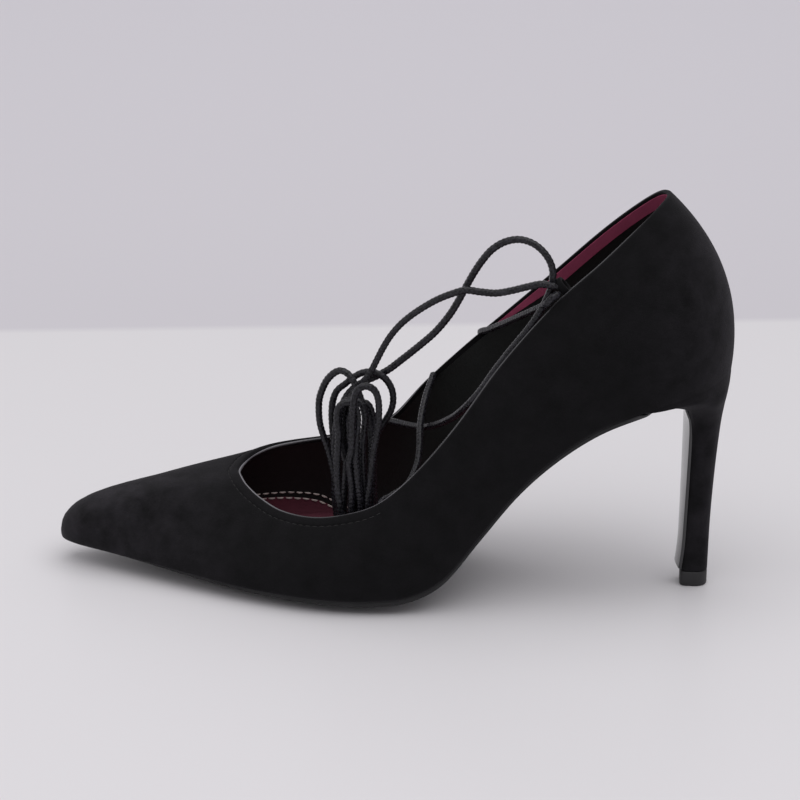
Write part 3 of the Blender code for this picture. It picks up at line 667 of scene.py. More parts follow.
def sew(name, points, faces, material):
    """A named piece of the shoe from points in a last maker's measures, with its faces turned outward."""
    mesh = bpy.data.meshes.new(name)
    mesh.from_pydata(in_frame(points).tolist(), [], faces)
    shell = bmesh.new()
    shell.from_mesh(mesh)
    bmesh.ops.recalc_face_normals(shell, faces=shell.faces)
    shell.to_mesh(mesh)
    shell.free()
    mesh.shade_smooth()
    mesh.set_sharp_from_angle(angle=SHARP_ANGLE)
    mesh.materials.append(material)
    piece = bpy.data.objects.new(name, mesh)
    bpy.context.scene.collection.objects.link(piece)
    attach(piece, BODY)
    return piece


def loft(name, sections, material, closed=False):
    """A named piece from sections that follow each other, closed in a ring or by a face at each end."""
    sections = np.asarray(sections)
    rings, sides = sections.shape[:2]
    faces = ring_faces(rings, sides, closed)
    if not closed:
        faces += end_faces(rings, sides)
    return sew(name, sections.reshape(-1, 3), faces, material)


def sweep_frames(path):
    """Two directions across a path at each of its points, turned as little as possible along it."""
    ways = unit(np.gradient(path, axis=0))
    side = unit(np.cross(ways[0], (0.0, 0.0, 1.0)))
    sides = []
    for way in ways:
        side = unit(side - way * (side @ way))
        sides.append(side)
    sides = np.array(sides)
    return sides, np.cross(ways, sides)


def tube(path, across, up, radius, sides):
    """Rings of points round a path, between two directions across it."""
    turns = full_turn(sides)[None, :, None]
    return path[:, None] + radius[..., None] * (np.cos(turns) * across[:, None] + np.sin(turns) * up[:, None])


def moved(faces, first):
    return [tuple(first + corner for corner in face) for face in faces]


def stitch_row(line, normals, stitch, thread):
    """Points and faces of one row of stitches along a line, each a short thread that dips at both ends."""
    points = []
    faces = []
    length = lengths_along(line)
    count = int(length[-1] // (stitch + STITCH_GAP))
    pitch = length[-1] / count
    arch = np.sin(np.linspace(0, np.pi, STITCH_RINGS))[:, None]
    radius = thread / 2 * (1 - STITCH_TAPER * (1 - arch))
    stitch_faces = ring_faces(STITCH_RINGS, STITCH_SIDES) + end_faces(STITCH_RINGS, STITCH_SIDES)
    for k in range(count):
        spots = k * pitch + STITCH_GAP / 2 + np.linspace(0, pitch - STITCH_GAP, STITCH_RINGS)
        core = at_lengths(line, spots)
        up = unit(between(length, normals, spots))
        across = unit(np.cross(unit(np.gradient(core, axis=0)), up))
        core = core + up * thread * (STITCH_ARCH * arch - STITCH_SUNK)
        faces += moved(stitch_faces, len(points))
        points += list(tube(core, across, up, radius, STITCH_SIDES).reshape(-1, 3))
    return points, faces


def feather_sides(ahead, edge=0.0):
    """Where the feather line, moved out by an edge, lies on the outer and on the inner side at a station."""
    feet = loop_ribs()[:, :2]
    feet = feet + plan_normals(feet) * edge
    back = (len(RIBS) - 1) * RIBS_PER_ROW
    outer = feet[back::-1]
    inner = np.concatenate([feet[back:], feet[:1]])
    return np.interp(ahead, *outer.T), np.interp(ahead, *inner.T)


def sole_slope(ahead):
    """How much longer a step along the bottom is than its run."""
    rise = bottom_up([ahead + SLOPE_STEP])[0] - bottom_up([ahead - SLOPE_STEP])[0]
    return math.hypot(1.0, rise / (2 * SLOPE_STEP))


def ease_edges(above, below):
    """One section of a strip from its rows above and below, with its four corners rounded."""
    sides = []
    for first, second, last in ((above[0], above[1], below[0]), (above[-1], above[-2], below[-1])):
        down = last - first
        depth = np.linalg.norm(down)
        inward = unit(second - first)
        down = down / depth
        small = min(EDGE_ROUND, ROUND_OF_DEPTH * depth, ROUND_OF_STEP * np.linalg.norm(second - first))
        corner = CORNER_SHARE * small
        sides.append(
            [
                first + inward * small,
                first + (inward + down) * corner,
                first + down * small,
                last - down * small,
                last + (inward - down) * corner,
                last + inward * small,
            ]
        )
    start, end = sides
    return np.array(start[2::-1] + list(above[1:-1]) + end + list(below[-2:0:-1]) + start[:2:-1])


def round_heel(front, back, half_width):
    """Outline of a heel section: flat in front, round behind. Points lie in pairs across the middle."""
    turn = 2 * np.pi * (np.arange(HEEL_SIDES) + 0.5) / HEEL_SIDES
    squareness = np.where(np.cos(turn) > 0, FRONT_SQUARENESS, BACK_SQUARENESS)
    ahead = (front + back) / 2 + (front - back) / 2 * squared(np.cos(turn), squareness)
    return np.column_stack([ahead, half_width * squared(np.sin(turn), squareness)])


def breast_skew(up):
    """How far the front of the heel is turned towards the outer side at a height."""
    return BREAST_SKEW * np.interp(up, (SKEW_FULL_UP, SKEW_NONE_UP), (1, 0))


def heel_rings():
    """Sections from the tip to the seat, and last the seat itself, which follows the upper's feather line."""
    rings = []
    for row in HEEL:
        slope = (row.back_up - row.front_up) / (row.front - row.back)
        outline = round_heel(row.front, row.back, row.half_width)
        up = row.front_up + slope * (row.front - outline[:, 0])
        share = (outline[:, 0] - row.back) / (row.front - row.back)
        outline[:, 0] -= breast_skew(row.front_up) * share * outline[:, 1]
        rings.append(np.column_stack([outline, up]))
    edge = bpy.context.scene.pump_sizes.wall / MM - SEAT_INSET
    seat = round_heel(SEAT_FRONT_AHEAD, BACK_AHEAD - edge, SEAT_HALF_WIDTH)
    rings.append(np.column_stack([seat, bottom_up(seat[:, 0]) - SEAT_GAP]))
    for ring in rings[-SEAT_RINGS:]:
        outer, inner = feather_sides(ring[:, 0], edge)
        ring[:, 1] = np.clip(ring[:, 1], inner, outer)
    return smooth_between(rings, HEEL_STEPS)


def per_metre(size):
    """Scale of a pattern in object coordinates whose marks are that many millimetres wide."""
    return 1 / (size * MM)


def fill(tree, node, inputs):
    """Fills or links inputs of a node."""
    for name, value in inputs.items():
        if isinstance(value, bpy.types.NodeSocket):
            tree.links.new(value, node.inputs[name])
        else:
            node.inputs[name].default_value = value


def add(tree, kind, inputs=None, out=0, **settings):
    """Adds a node to a material, with its settings and its inputs filled or linked, and gives one output."""
    made = tree.nodes.new(kind)
    for name, value in settings.items():
        setattr(made, name, value)
    fill(tree, made, inputs or {})
    return made.outputs[out]


def start_material(name):
    """A new material: its node tree and the place on the object that patterns follow."""
    material = bpy.data.materials.new(name)
    material.use_nodes = True
    tree = material.node_tree
    return material, tree, add(tree, "ShaderNodeTexCoord", out="Object")


def set_shader(material, inputs):
    """Fills or links inputs of a material's shader, and gives the finished material."""
    fill(material.node_tree, material.node_tree.nodes["Principled BSDF"], inputs)
    return material


def black_kid_suede(colours):
    """Kid suede, dyed through and brushed."""
    material, tree, place = start_material("black_kid_suede")
    # The brushed nap scatters light, so the black stays matt and pales in soft blotches where it stands up.
    blotch = add(
        tree, "ShaderNodeTexNoise", {"Vector": place, "Scale": per_metre(8), "Detail": 4.0, "Roughness": 0.6}
    )
    raised = add(tree, "ShaderNodeMapRange", {"Value": blotch, "From Min": 0.25, "From Max": 0.8})
    # Painted light: the blotches are made paler on the toe, whose top faces the light above, and down the
    # back of the heel, where more light falls.
    along = add(tree, "ShaderNodeSeparateXYZ", {"Vector": place}, "X")
    toe_painted_light = add(
        tree,
        "ShaderNodeMapRange",
        {"Value": along, "From Min": -95 * MM, "From Max": -45 * MM, "To Min": 1.0, "To Max": 0.2},
    )
    # Painted light down the back: the heel cover and the back of the quarters.
    behind = add(
        tree,
        "ShaderNodeMapRange",
        {"Value": along, "From Min": 75 * MM, "From Max": 110 * MM, "To Max": 0.75},
    )
    # The two painted lights together; they scale up the random blotches of raised nap.
    toe_and_heel_painted_light = add(tree, "ShaderNodeMath", {0: toe_painted_light, 1: behind}, operation="MAXIMUM")
    raised_nap_and_painted_light = add(tree, "ShaderNodeMath", {0: raised, 1: toe_and_heel_painted_light}, operation="MULTIPLY")
    # Fibres of 0.05 mm are too fine to show, so the nap is drawn at 0.5 mm, longer along the shoe.
    laid = add(tree, "ShaderNodeMapping", {"Vector": place, "Scale": (0.45, 1.0, 1.0)})
    nap = add(
        tree, "ShaderNodeTexNoise", {"Vector": laid, "Scale": per_metre(0.5), "Detail": 4.0, "Roughness": 0.7}
    )
    # The paler colour goes where the nap stands up at random and where light is painted on.
    tone = add(
        tree,
        "ShaderNodeMix",
        {SHARE: raised_nap_and_painted_light, FIRST: tuple(colours.suede), SECOND: tuple(colours.suede_raised_and_lit)},
        **BLEND,
    )
    fleck = add(
        tree, "ShaderNodeMix", {SHARE: 0.35, FIRST: tone, SECOND: nap}, blend_type="SOFT_LIGHT", **BLEND
    )
    bump = add(tree, "ShaderNodeBump", {"Height": nap, "Strength": 0.5, "Distance": 0.25 * MM})
    return set_shader(
        material,
        {
            "Base Color": fleck,
            "Normal": bump,
            "Roughness": 0.95,
            "IOR": 1.45,
            "Specular IOR Level": 0.15,
            "Sheen Weight": 0.14,
            "Sheen Roughness": 0.45,
            "Sheen Tint": linear("#a9a5ad"),
        },
    )


def rolled_leather(colours):
    """Kid leather with its own grain, rolled over a cord and pressed."""
    material, tree, place = start_material("rolled_kid_leather")
    # Smooth finished skin gives a long soft highlight along the roll, broken by fine pores.
    grain = add(tree, "ShaderNodeTexVoronoi", {"Vector": place, "Scale": per_metre(0.6), "Randomness": 1.0})
    bump = add(tree, "ShaderNodeBump", {"Height": grain, "Strength": 0.25, "Distance": 0.1 * MM})
    handled = add(tree, "ShaderNodeTexNoise", {"Vector": place, "Scale": per_metre(6), "Detail": 3.0})
    rough = add(
        tree,
        "ShaderNodeMapRange",
        {"Value": handled, "From Min": 0.3, "From Max": 0.7, "To Min": 0.22, "To Max": 0.38},
    )
    # Painted highlight: the roll is made pale round the front of the throat and in one stretch on both sides
    # further back, where light catches it.
    along = add(tree, "ShaderNodeSeparateXYZ", {"Vector": place}, "X")
    front = add(
        tree,
        "ShaderNodeMapRange",
        {"Value": along, "From Min": -46 * MM, "From Max": -28 * MM, "To Min": 1.0, "To Max": 0.0},
    )
    highlight_start = add(
        tree, "ShaderNodeMapRange", {"Value": along, "From Min": -14 * MM, "From Max": -6 * MM, "To Max": 0.7}
    )
    highlight_end = add(
        tree,
        "ShaderNodeMapRange",
        {"Value": along, "From Min": 2 * MM, "From Max": 12 * MM, "To Min": 1.0, "To Max": 0.0},
    )
    stretch_highlight = add(tree, "ShaderNodeMath", {0: highlight_start, 1: highlight_end}, operation="MINIMUM")
    painted_highlight = add(tree, "ShaderNodeMath", {0: front, 1: stretch_highlight}, operation="MAXIMUM")
    tone = add(
        tree,
        "ShaderNodeMix",
        {SHARE: painted_highlight, FIRST: tuple(colours.binding), SECOND: tuple(colours.binding_highlight)},
        **BLEND,
    )
    return set_shader(
        material,
        {
            "Base Color": tone,
            "Roughness": rough,
            "Normal": bump,
            "IOR": 1.5,
            "Coat Weight": 0.15,
            "Coat Roughness": 0.3,
        },
    )


def painted_sole_leather(colours):
    """Bend leather, painted black, and burnished down the heel."""
    material, tree, place = start_material("painted_sole_leather")
    # The paint is matt on tread and waist; burnished down the heel it mirrors the room like varnish.
    along = add(tree, "ShaderNodeSeparateXYZ", {"Vector": place}, "X")
    waist_end = (ORIGIN_AHEAD - FULL_WIDTH_AHEAD) * MM
    burnish = add(
        tree,
        "ShaderNodeMapRange",
        {
            "Value": along,
            "From Min": waist_end - BURNISH_FADE * MM,
            "From Max": waist_end + BURNISH_FADE * MM,
            "To Max": BURNISH_COAT,
        },
    )
    pores = add(tree, "ShaderNodeTexNoise", {"Vector": place, "Scale": per_metre(0.8), "Detail": 3.0})
    bump = add(tree, "ShaderNodeBump", {"Height": pores, "Strength": 0.15, "Distance": 0.1 * MM})
    uneven = add(tree, "ShaderNodeTexNoise", {"Vector": place, "Scale": per_metre(9), "Detail": 2.0})
    rough = add(
        tree,
        "ShaderNodeMapRange",
        {"Value": uneven, "From Min": 0.3, "From Max": 0.7, "To Min": 0.62, "To Max": 0.8},
    )
    smoothed = add(
        tree, "ShaderNodeMapRange", {"Value": burnish, "From Max": BURNISH_COAT, "To Min": 1.0, "To Max": 0.3}
    )
    polish = add(tree, "ShaderNodeMath", {0: rough, 1: smoothed}, operation="MULTIPLY")
    tone = add(
        tree,
        "ShaderNodeMix",
        {SHARE: uneven, FIRST: tuple(colours.sole), SECOND: linear("#1a1a1c")},
        **BLEND,
    )
    return set_shader(
        material,
        {
            "Base Color": tone,
            "Roughness": polish,
            "Normal": bump,
            "IOR": 1.5,
            "Coat Weight": burnish,
            "Coat Roughness": 0.05,
        },
    )


def glazed_lining_leather(name, colour, deep):
    """Sheep leather, dyed and glazed, for the sock and the linings."""
    material, tree, place = start_material(name)
    # Small pebbled grain of about a millimetre with a low glaze; the dye gathers darker in clouds.
    grain = add(tree, "ShaderNodeTexVoronoi", {"Vector": place, "Scale": per_metre(1.0), "Randomness": 1.0})
    bump = add(tree, "ShaderNodeBump", {"Height": grain, "Strength": 0.3, "Distance": 0.12 * MM})
    cloud = add(tree, "ShaderNodeTexNoise", {"Vector": place, "Scale": per_metre(14), "Detail": 3.0})
    dye = add(tree, "ShaderNodeMapRange", {"Value": cloud, "From Min": 0.3, "From Max": 0.75, "To Max": 0.8})
    tone = add(tree, "ShaderNodeMix", {SHARE: dye, FIRST: tuple(colour), SECOND: linear(deep)}, **BLEND)
    return set_shader(
        material,
        {"Base Color": tone, "Normal": bump, "Roughness": 0.5, "IOR": 1.48, "Specular IOR Level": 0.4},
    )


def moulded_rubber(colours):
    """Hard polyurethane rubber, moulded."""
    material, tree, place = start_material("moulded_heel_rubber")
    # A fine spark grain from the mould keeps the highlight dull.
    spark = add(tree, "ShaderNodeTexNoise", {"Vector": place, "Scale": per_metre(0.4), "Detail": 2.0})
    bump = add(tree, "ShaderNodeBump", {"Height": spark, "Strength": 0.3, "Distance": 0.1 * MM})
    scuff = add(tree, "ShaderNodeTexNoise", {"Vector": place, "Scale": per_metre(3), "Detail": 4.0})
    tone = add(
        tree,
        "ShaderNodeMix",
        {SHARE: scuff, FIRST: tuple(colours.rubber), SECOND: linear("#242325")},
        **BLEND,
    )
    return set_shader(material, {"Base Color": tone, "Normal": bump, "Roughness": 0.55, "IOR": 1.5})


def waxed_cotton_braid(colours):
    """Cotton cord, braided, dyed and waxed."""
    material, tree, place = start_material("waxed_cotton_braid")
    # The wax shines on the crown of each bump; paler yarn of 0.6 mm shows as specks between.
    yarn = add(tree, "ShaderNodeTexNoise", {"Vector": place, "Scale": per_metre(0.6), "Detail": 2.0})
    bump = add(tree, "ShaderNodeBump", {"Height": yarn, "Strength": 0.8, "Distance": 0.25 * MM})
    fleck = add(tree, "ShaderNodeMapRange", {"Value": yarn, "From Min": 0.4, "From Max": 0.62})
    tone = add(
        tree,
        "ShaderNodeMix",
        {SHARE: fleck, FIRST: tuple(colours.cord), SECOND: linear("#2b2a30")},
        **BLEND,
    )
    wax = add(tree, "ShaderNodeTexNoise", {"Vector": place, "Scale": per_metre(5), "Detail": 3.0})
    rough = add(
        tree,
        "ShaderNodeMapRange",
        {"Value": wax, "From Min": 0.3, "From Max": 0.7, "To Min": 0.2, "To Max": 0.36},
    )
    return set_shader(
        material,
        {
            "Base Color": tone,
            "Roughness": rough,
            "Normal": bump,
            "IOR": 1.5,
            "Specular IOR Level": 0.24,
            "Coat Weight": 0.05,
            "Coat Roughness": 0.2,
        },
    )


def bonded_thread(name, colour):
    """Polyester sewing thread, twisted and bonded."""
    material, tree, place = start_material(name)
    # The twist of about half a millimetre gives each stitch light and dark bands.
    twist = add(tree, "ShaderNodeTexNoise", {"Vector": place, "Scale": per_metre(0.5), "Detail": 1.0})
    shaded = tuple(part * THREAD_SHADE for part in colour[:3]) + (1.0,)
    tone = add(tree, "ShaderNodeMix", {SHARE: twist, FIRST: tuple(colour), SECOND: shaded}, **BLEND)
    return set_shader(material, {"Base Color": tone, "Roughness": 0.75, "IOR": 1.53})


def pale_table(colours):
    """Sprayed lacquer table in front of a lavender-grey ground."""
    material, tree, place = start_material("pale_lacquer_table")
    # A very even pale surface; its far edge shows as a straight line behind the shoe.
    depth = add(tree, "ShaderNodeSeparateXYZ", {"Vector": place}, "Y")
    beyond = add(
        tree,
        "ShaderNodeMapRange",
        {"Value": depth, "From Min": FLOOR_EDGE - FLOOR_BLUR, "From Max": FLOOR_EDGE + FLOOR_BLUR},
    )
    # Painted light: the ground is painted paler with distance to make up for the light falling off there, so
    # that it looks as even as an upright wall.
    painted_falloff_light = add(tree, "ShaderNodeMapRange", {"Value": depth, "From Min": FLOOR_EDGE, "From Max": GROUND_FAR})
    ground = add(
        tree,
        "ShaderNodeMix",
        {SHARE: painted_falloff_light, FIRST: tuple(colours.ground), SECOND: tuple(colours.ground_far_painted_light)},
        **BLEND,
    )
    tone = add(tree, "ShaderNodeMix", {SHARE: beyond, FIRST: tuple(colours.floor), SECOND: ground}, **BLEND)
    return set_shader(material, {"Base Color": tone, "Roughness": 0.4, "Specular IOR Level": 0.3})


def stand(name, data, spot, aim):
    """A camera or a light at a spot, turned towards its aim."""
    thing = bpy.data.objects.new(name, data)
    thing.location = spot
    thing.rotation_euler = (Vector(aim) - thing.location).to_track_quat("-Z", "Y").to_euler()
    bpy.context.scene.collection.objects.link(thing)
    return thing


class PUMP_OT_set_stage(bpy.types.Operator):
    """Sets the table, the soft lights and the camera"""

    bl_idname = "pump.set_stage"
    bl_label = "Set the stage"

    def execute(self, context):
        scene = context.scene
        half = FLOOR_SPAN / 2
        mesh = bpy.data.meshes.new("table_top")
        mesh.from_pydata(
            [(-half, -half, 0), (half, -half, 0), (half, half, 0), (-half, half, 0)], [], [(0, 1, 2, 3)]
        )
        mesh.materials.append(pale_table(scene.pump_colours))
        table = bpy.data.objects.new("table_top", mesh)
        table.rotation_euler.z = FLOOR_TURN
        scene.collection.objects.link(table)
        lens = bpy.data.cameras.new("camera")
        lens.sensor_width = SENSOR_WIDTH
        lens.lens = CAMERA_LENS
        scene.camera = stand("camera", lens, CAMERA_SPOT, CAMERA_AIM)
        for row in LIGHTS:
            light = bpy.data.lights.new(row.name, "AREA")
            light.shape = "DISK"
            light.size = row.size
            light.energy = row.power
            stand(row.name, light, row.spot, LIGHT_AIM)
        world = bpy.data.worlds.new("soft_room")
        scene.world = world
        world.use_nodes = True
        sky = world.node_tree.nodes["Background"]
        sky.inputs["Color"].default_value = linear(SKY_COLOUR)
        sky.inputs["Strength"].default_value = SKY_STRENGTH
        scene.view_settings.view_transform = "Standard"
        return {"FINISHED"}


def cord_path(route):
    """Evenly spaced ring centres on a smooth curve through a route."""
    fine = smooth_between(route, PATH_STEPS)
    whole = lengths_along(fine)[-1]
    return at_lengths(fine, np.linspace(0, whole, int(whole / RING_STEP) + 1))


def braid_lace(name, route, material):
    """One length of braided cord along a route: a tube whose bumps lie in rows like the braid's."""
    sizes = bpy.context.scene.pump_sizes
    path = cord_path(route)
    side, up = sweep_frames(path)
    along = np.arange(len(path))[:, None] * RING_STEP
    # The two waves add up to 2 at the top of a bump, which stands at the full diameter.
    bumps = np.cos(BRAID_BUMPS * full_turn(CORD_SIDES)) + np.cos(2 * np.pi * along * MM / sizes.bead)
    radius = sizes.cord / MM / 2 + sizes.relief / MM * (bumps - 2) / 4
    to_end = np.minimum(along, along[::-1])
    radius = radius * np.sqrt(1 - (1 - np.clip(to_end / TIP_LENGTH, TIP_LEAST, 1)) ** 2)
    piece = loft(name, tube(path, side, up, radius, CORD_SIDES), material)
    return piece


class PUMP_OT_run_lace(bpy.types.Operator):
    """Runs the lace across the throat and winds its two ends into loops"""

    bl_idname = "pump.run_lace"
    bl_label = "Run the lace"

    def execute(self, context):
        waxed = waxed_cotton_braid(context.scene.pump_colours)
        braid_lace("lace_throat_run", THROAT_RUN, waxed)
        braid_lace("lace_instep_run", INSTEP_RUN, waxed)
        inner = braid_lace("lace_inner_wound", INNER_END, waxed)
        outer = braid_lace("lace_outer_wound", OUTER_END, waxed)
        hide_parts("lace_end_inner")
        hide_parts("lace_end_outer", "lace_crossing", "lace_bunch")
        return {"FINISHED"}


class PUMP_OT_last_upper(bpy.types.Operator):
    """Lasts the suede upper with its casing, rolled edge and stitching"""

    bl_idname = "pump.last_upper"
    bl_label = "Last the upper"

    def execute(self, context):
        sizes = context.scene.pump_sizes
        colours = context.scene.pump_colours
        suede = black_kid_suede(colours)
        inside, normals, below = lasted_grid()
        wall = sizes.wall / MM
        casing = sizes.casing / MM
        tunnel = np.sin(np.pi * np.clip(below / casing, 0, 1)) ** TUNNEL_POWER
        seam = np.exp(-(((below - casing) / SEAM_WIDTH) ** 2))
        above_foot = below[:, :1] - below
        near_foot = np.clip(1 - above_foot / LEVEL_HEIGHT, 0, 1)
        normals = unit(normals + (unit(normals * (1, 1, 0)) - normals) * near_foot[..., None])
        on_sole = np.clip((inside[:, :1, 0] - FULL_WIDTH_AHEAD) / SOLE_FADE, 0, 1)
        tucked = np.clip(1 - above_foot / TUCK_HEIGHT, 0, 1) ** 2 * on_sole
        eased = np.clip(1 - below / EDGE_EASE, 0, 1) ** 2
        throat = np.clip((inside[:, -1:, 0] - CASING_END) / CASING_FADE, 0, 1)
        thick = wall + throat * (sizes.casing_swell / MM * tunnel - SEAM_DEPTH * seam)
        thick = thick - TUCK_DEPTH * tucked - wall / 2 * eased
        outside = inside + normals * (thick - crease_depth(inside + normals * wall))[..., None]
        outside[..., 2] += (bottom_up(outside[:, 0, 0]) - outside[:, 0, 2])[:, None] * near_foot
        picked = np.concatenate([TURNED_ROWS, np.linspace(TURNED_ROWS[-1], inside.shape[1] - 1, BACK_STEPS)])
        picked = inside.shape[1] - 1 - picked.astype(int)
        turned = np.arange(len(picked)) < len(TURNED_ROWS)
        behind = (inside + normals * (wall - sizes.suede / MM))[:, picked]
        behind[:, turned] = inside[:, picked[turned]]
        sections = np.concatenate([outside, behind], axis=1)
        upper = loft("suede_upper", sections, suede, closed=True)
        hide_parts("upper")
        self.roll_edge(inside[:, -1 - ROLL_ROW], normals[:, -1], sizes, colours)
        row = np.argmin(np.abs(np.array(TOP_ROWS) - casing))
        order = np.roll(np.arange(len(inside)), len(inside) // 2)
        sewn = order[inside[order, -1, 0] > CASING_END]
        points, faces = stitch_row(
            outside[sewn, -1 - row], normals[sewn, -1 - row], sizes.casing_stitch / MM, CASING_THREAD
        )
        thread = bonded_thread("black_bonded_thread", colours.suede)
        sew("casing_stitching", points, faces, thread)
        return {"FINISHED"}

    def roll_edge(self, edge, normals, sizes, colours):
        """The rolled leather edge that runs round the whole topline."""
        slim = np.interp(edge[:, 1], ROLL_OUTS, ROLL_SHARES)
        full = np.interp(edge[:, 0], ROLL_AHEADS, ROLL_FULLNESS)
        radius = (sizes.binding / MM / 2 * slim * full)[:, None]
        path = edge + normals * sizes.wall / MM * ROLL_SEAT
        way = unit(np.roll(path, -1, axis=0) - np.roll(path, 1, axis=0))
        up = unit(np.cross(way, normals))
        up = up * np.sign(up[:, 2:])
        rings = tube(path, normals * ROLL_BROADNESS, up, radius, ROLL_SIDES)
        loft("rolled_topline", rings, rolled_leather(colours), closed=True)


class PUMP_OT_line_upper(bpy.types.Operator):
    """Lines the upper in black, with a burgundy band along the topline of the quarters"""

    bl_idname = "pump.line_upper"
    bl_label = "Line the upper"

    def execute(self, context):
        sizes = context.scene.pump_sizes
        colours = context.scene.pump_colours
        burgundy = glazed_lining_leather("burgundy_sheep_lining", colours.quarter_lining, "#843c55")
        black = glazed_lining_leather("black_sheep_lining", colours.vamp_lining, "#131615")
        lines = last_lines()
        whole = np.array([lengths_along(line)[-1] for line in lines])
        shares = np.linspace(0, 1, LINING_STEPS)
        grid = np.array([at_lengths(line, shares * (w - TURNED_DEPTH)) for line, w in zip(lines, whole)])
        gap = sizes.wall / MM - sizes.suede / MM - LINING_GAP
        picked = np.linspace(LINING_STEPS - 1, 0, BACK_STEPS).astype(int)
        sections = np.concatenate([grid, (grid + grid_normals(grid) * gap)[:, picked]], axis=1)
        loft("black_lining", sections, black, closed=True)
        ribs = len(lines)
        first = int(BAND_JOIN_ROW * RIBS_PER_ROW)
        from_end = np.minimum(np.arange(ribs), ribs - np.arange(ribs)) - first
        taper = np.clip(from_end / BAND_TAPER, BAND_END, 1)
        shares = np.linspace(1, 0, BAND_STEPS)
        # The shallow band leaves black lining on the lower wall, partly painted shade.
        depths = BAND_TOP + (BAND_DEPTH - BAND_TOP) * taper[:, None] * shares
        band = np.array([at_lengths(line, w - d) for line, w, d in zip(lines, whole, depths)])
        inward = -grid_normals(band) * BAND_THICK
        band = np.concatenate([band, (band + inward)[:, ::-1]], axis=1)[first : ribs - first + 1]
        loft("burgundy_band", band, burgundy)
        return {"FINISHED"}


class PUMP_OT_lay_sock(bpy.types.Operator):
    """Lays the burgundy sock and sews its two rows"""

    bl_idname = "pump.lay_sock"
    bl_label = "Lay the sock"

    def execute(self, context):
        sizes = context.scene.pump_sizes
        colours = context.scene.pump_colours
        leather = glazed_lining_leather("burgundy_sheep_sock", colours.sock, "#562c39")
        stations = np.linspace(BACK_AHEAD + SOCK_BACK_CLEAR, TOE_AHEAD - SOCK_TOE_CLEAR, SOCK_STATIONS)
        tops = []
        sections = []
        for ahead in stations:
            outer, inner = feather_sides(ahead)
            half = max(NARROWEST_HALF, (outer - inner) / 2 - SOCK_SIDE_CLEAR)
            lean = sole_slope(ahead)
            under = bottom_up([ahead])[0] - crown([ahead])[0] * (1 - SOLE_SHARES**2)
            puff = SOCK_PUFF * (1 - np.abs(SOLE_SHARES) ** 4)
            out = (outer + inner) / 2 + SOLE_SHARES * half
            level = np.full(len(out), ahead)
            above = np.column_stack([level, out, under + (SOCK_THICK + puff) * lean])
            tops.append(above)
            sections.append(ease_edges(above, np.column_stack([level, out, under])))
        sock = loft("burgundy_sock", sections, leather)
        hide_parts("insole")
        self.sew_rows(np.array(tops), sizes, colours)
        return {"FINISHED"}

    def sew_rows(self, tops, sizes, colours):
        """Two rows of pale stitches: along the edge of the sock behind, and up on the wall in front."""
        normals = unit(np.cross(np.gradient(tops, axis=1), np.gradient(tops, axis=0)))
        normals = normals * np.sign(normals[..., 2:])
        rows = []
        for inset in SOCK_SEAM_INSETS:
            kept = []
            for row, facing in zip(tops, normals):
                half = (row[-1, 1] - row[0, 1]) / 2
                if half > inset + SOCK_SEAM_ROOM and row[0, 0] < SOCK_SEAM_END:
                    kept.append((row, facing, 1 - inset / half))
            outer_side = [self.at_share(row, facing, share) for row, facing, share in kept[::-1]]
            inner_side = [self.at_share(row, facing, -share) for row, facing, share in kept]
            rows.append(outer_side + inner_side)
        rows += self.turn_up_rim()
        points = []
        faces = []
        for row in rows:
            line = np.array([p for p, n in row])
            facing = np.array([n for p, n in row])
            more, more_faces = stitch_row(line, facing, sizes.sock_stitch / MM, SOCK_THREAD)
            faces += moved(more_faces, len(points))
            points += more
        thread = bonded_thread("pale_bonded_thread", colours.thread)
        sew("sock_stitching", points, faces, thread)

    def turn_up_rim(self):
        """The rim of the sock on the wall round the front; gives the places of its two rows of stitches."""
        lines = last_lines()
        reach = RIBS_PER_ROW * (len(RIBS) - 1)
        upper_row = []
        lower_row = []
        sections = []
        for rib in range(-reach, reach + 1):
            line = lines[rib % len(lines)]
            ahead = at_lengths(line, [RIM_HEIGHTS[-1]])[0, 0]
            height = np.interp(ahead, RIM_AHEADS, RIM_HEIGHTS)
            lower = height - RIM_SEAM_GAP
            if lower < RIM_LOWEST:
                continue
            spots = np.append(np.linspace(RIM_FOOT, lower + RIM_MARGIN, RIM_STEPS), [lower, height])
            wall = at_lengths(line, spots)
            beside = at_lengths(lines[(rib + 1) % len(lines)], spots) - at_lengths(lines[rib - 1], spots)
            higher = at_lengths(line, spots + SLOPE_STEP) - at_lengths(line, spots - SLOPE_STEP)
            inward = -unit(np.cross(beside, higher))
            face = wall[:RIM_STEPS] + inward[:RIM_STEPS] * RIM_THICK
            sections.append(np.concatenate([face, wall[:RIM_STEPS][::-1]]))
            lower_row.append((wall[-2] + inward[-2] * RIM_THICK, inward[-2]))
            upper_row.append((wall[-1], inward[-1]))
        loft("sock_rim", sections, bpy.data.materials["burgundy_sheep_sock"])
        return [upper_row, lower_row]

    def at_share(self, row, facing, share):
        """The place and the normal at a share of the way across a row of the sock."""
        return between(SOLE_SHARES, row, [share])[0], between(SOLE_SHARES, facing, [share])[0]


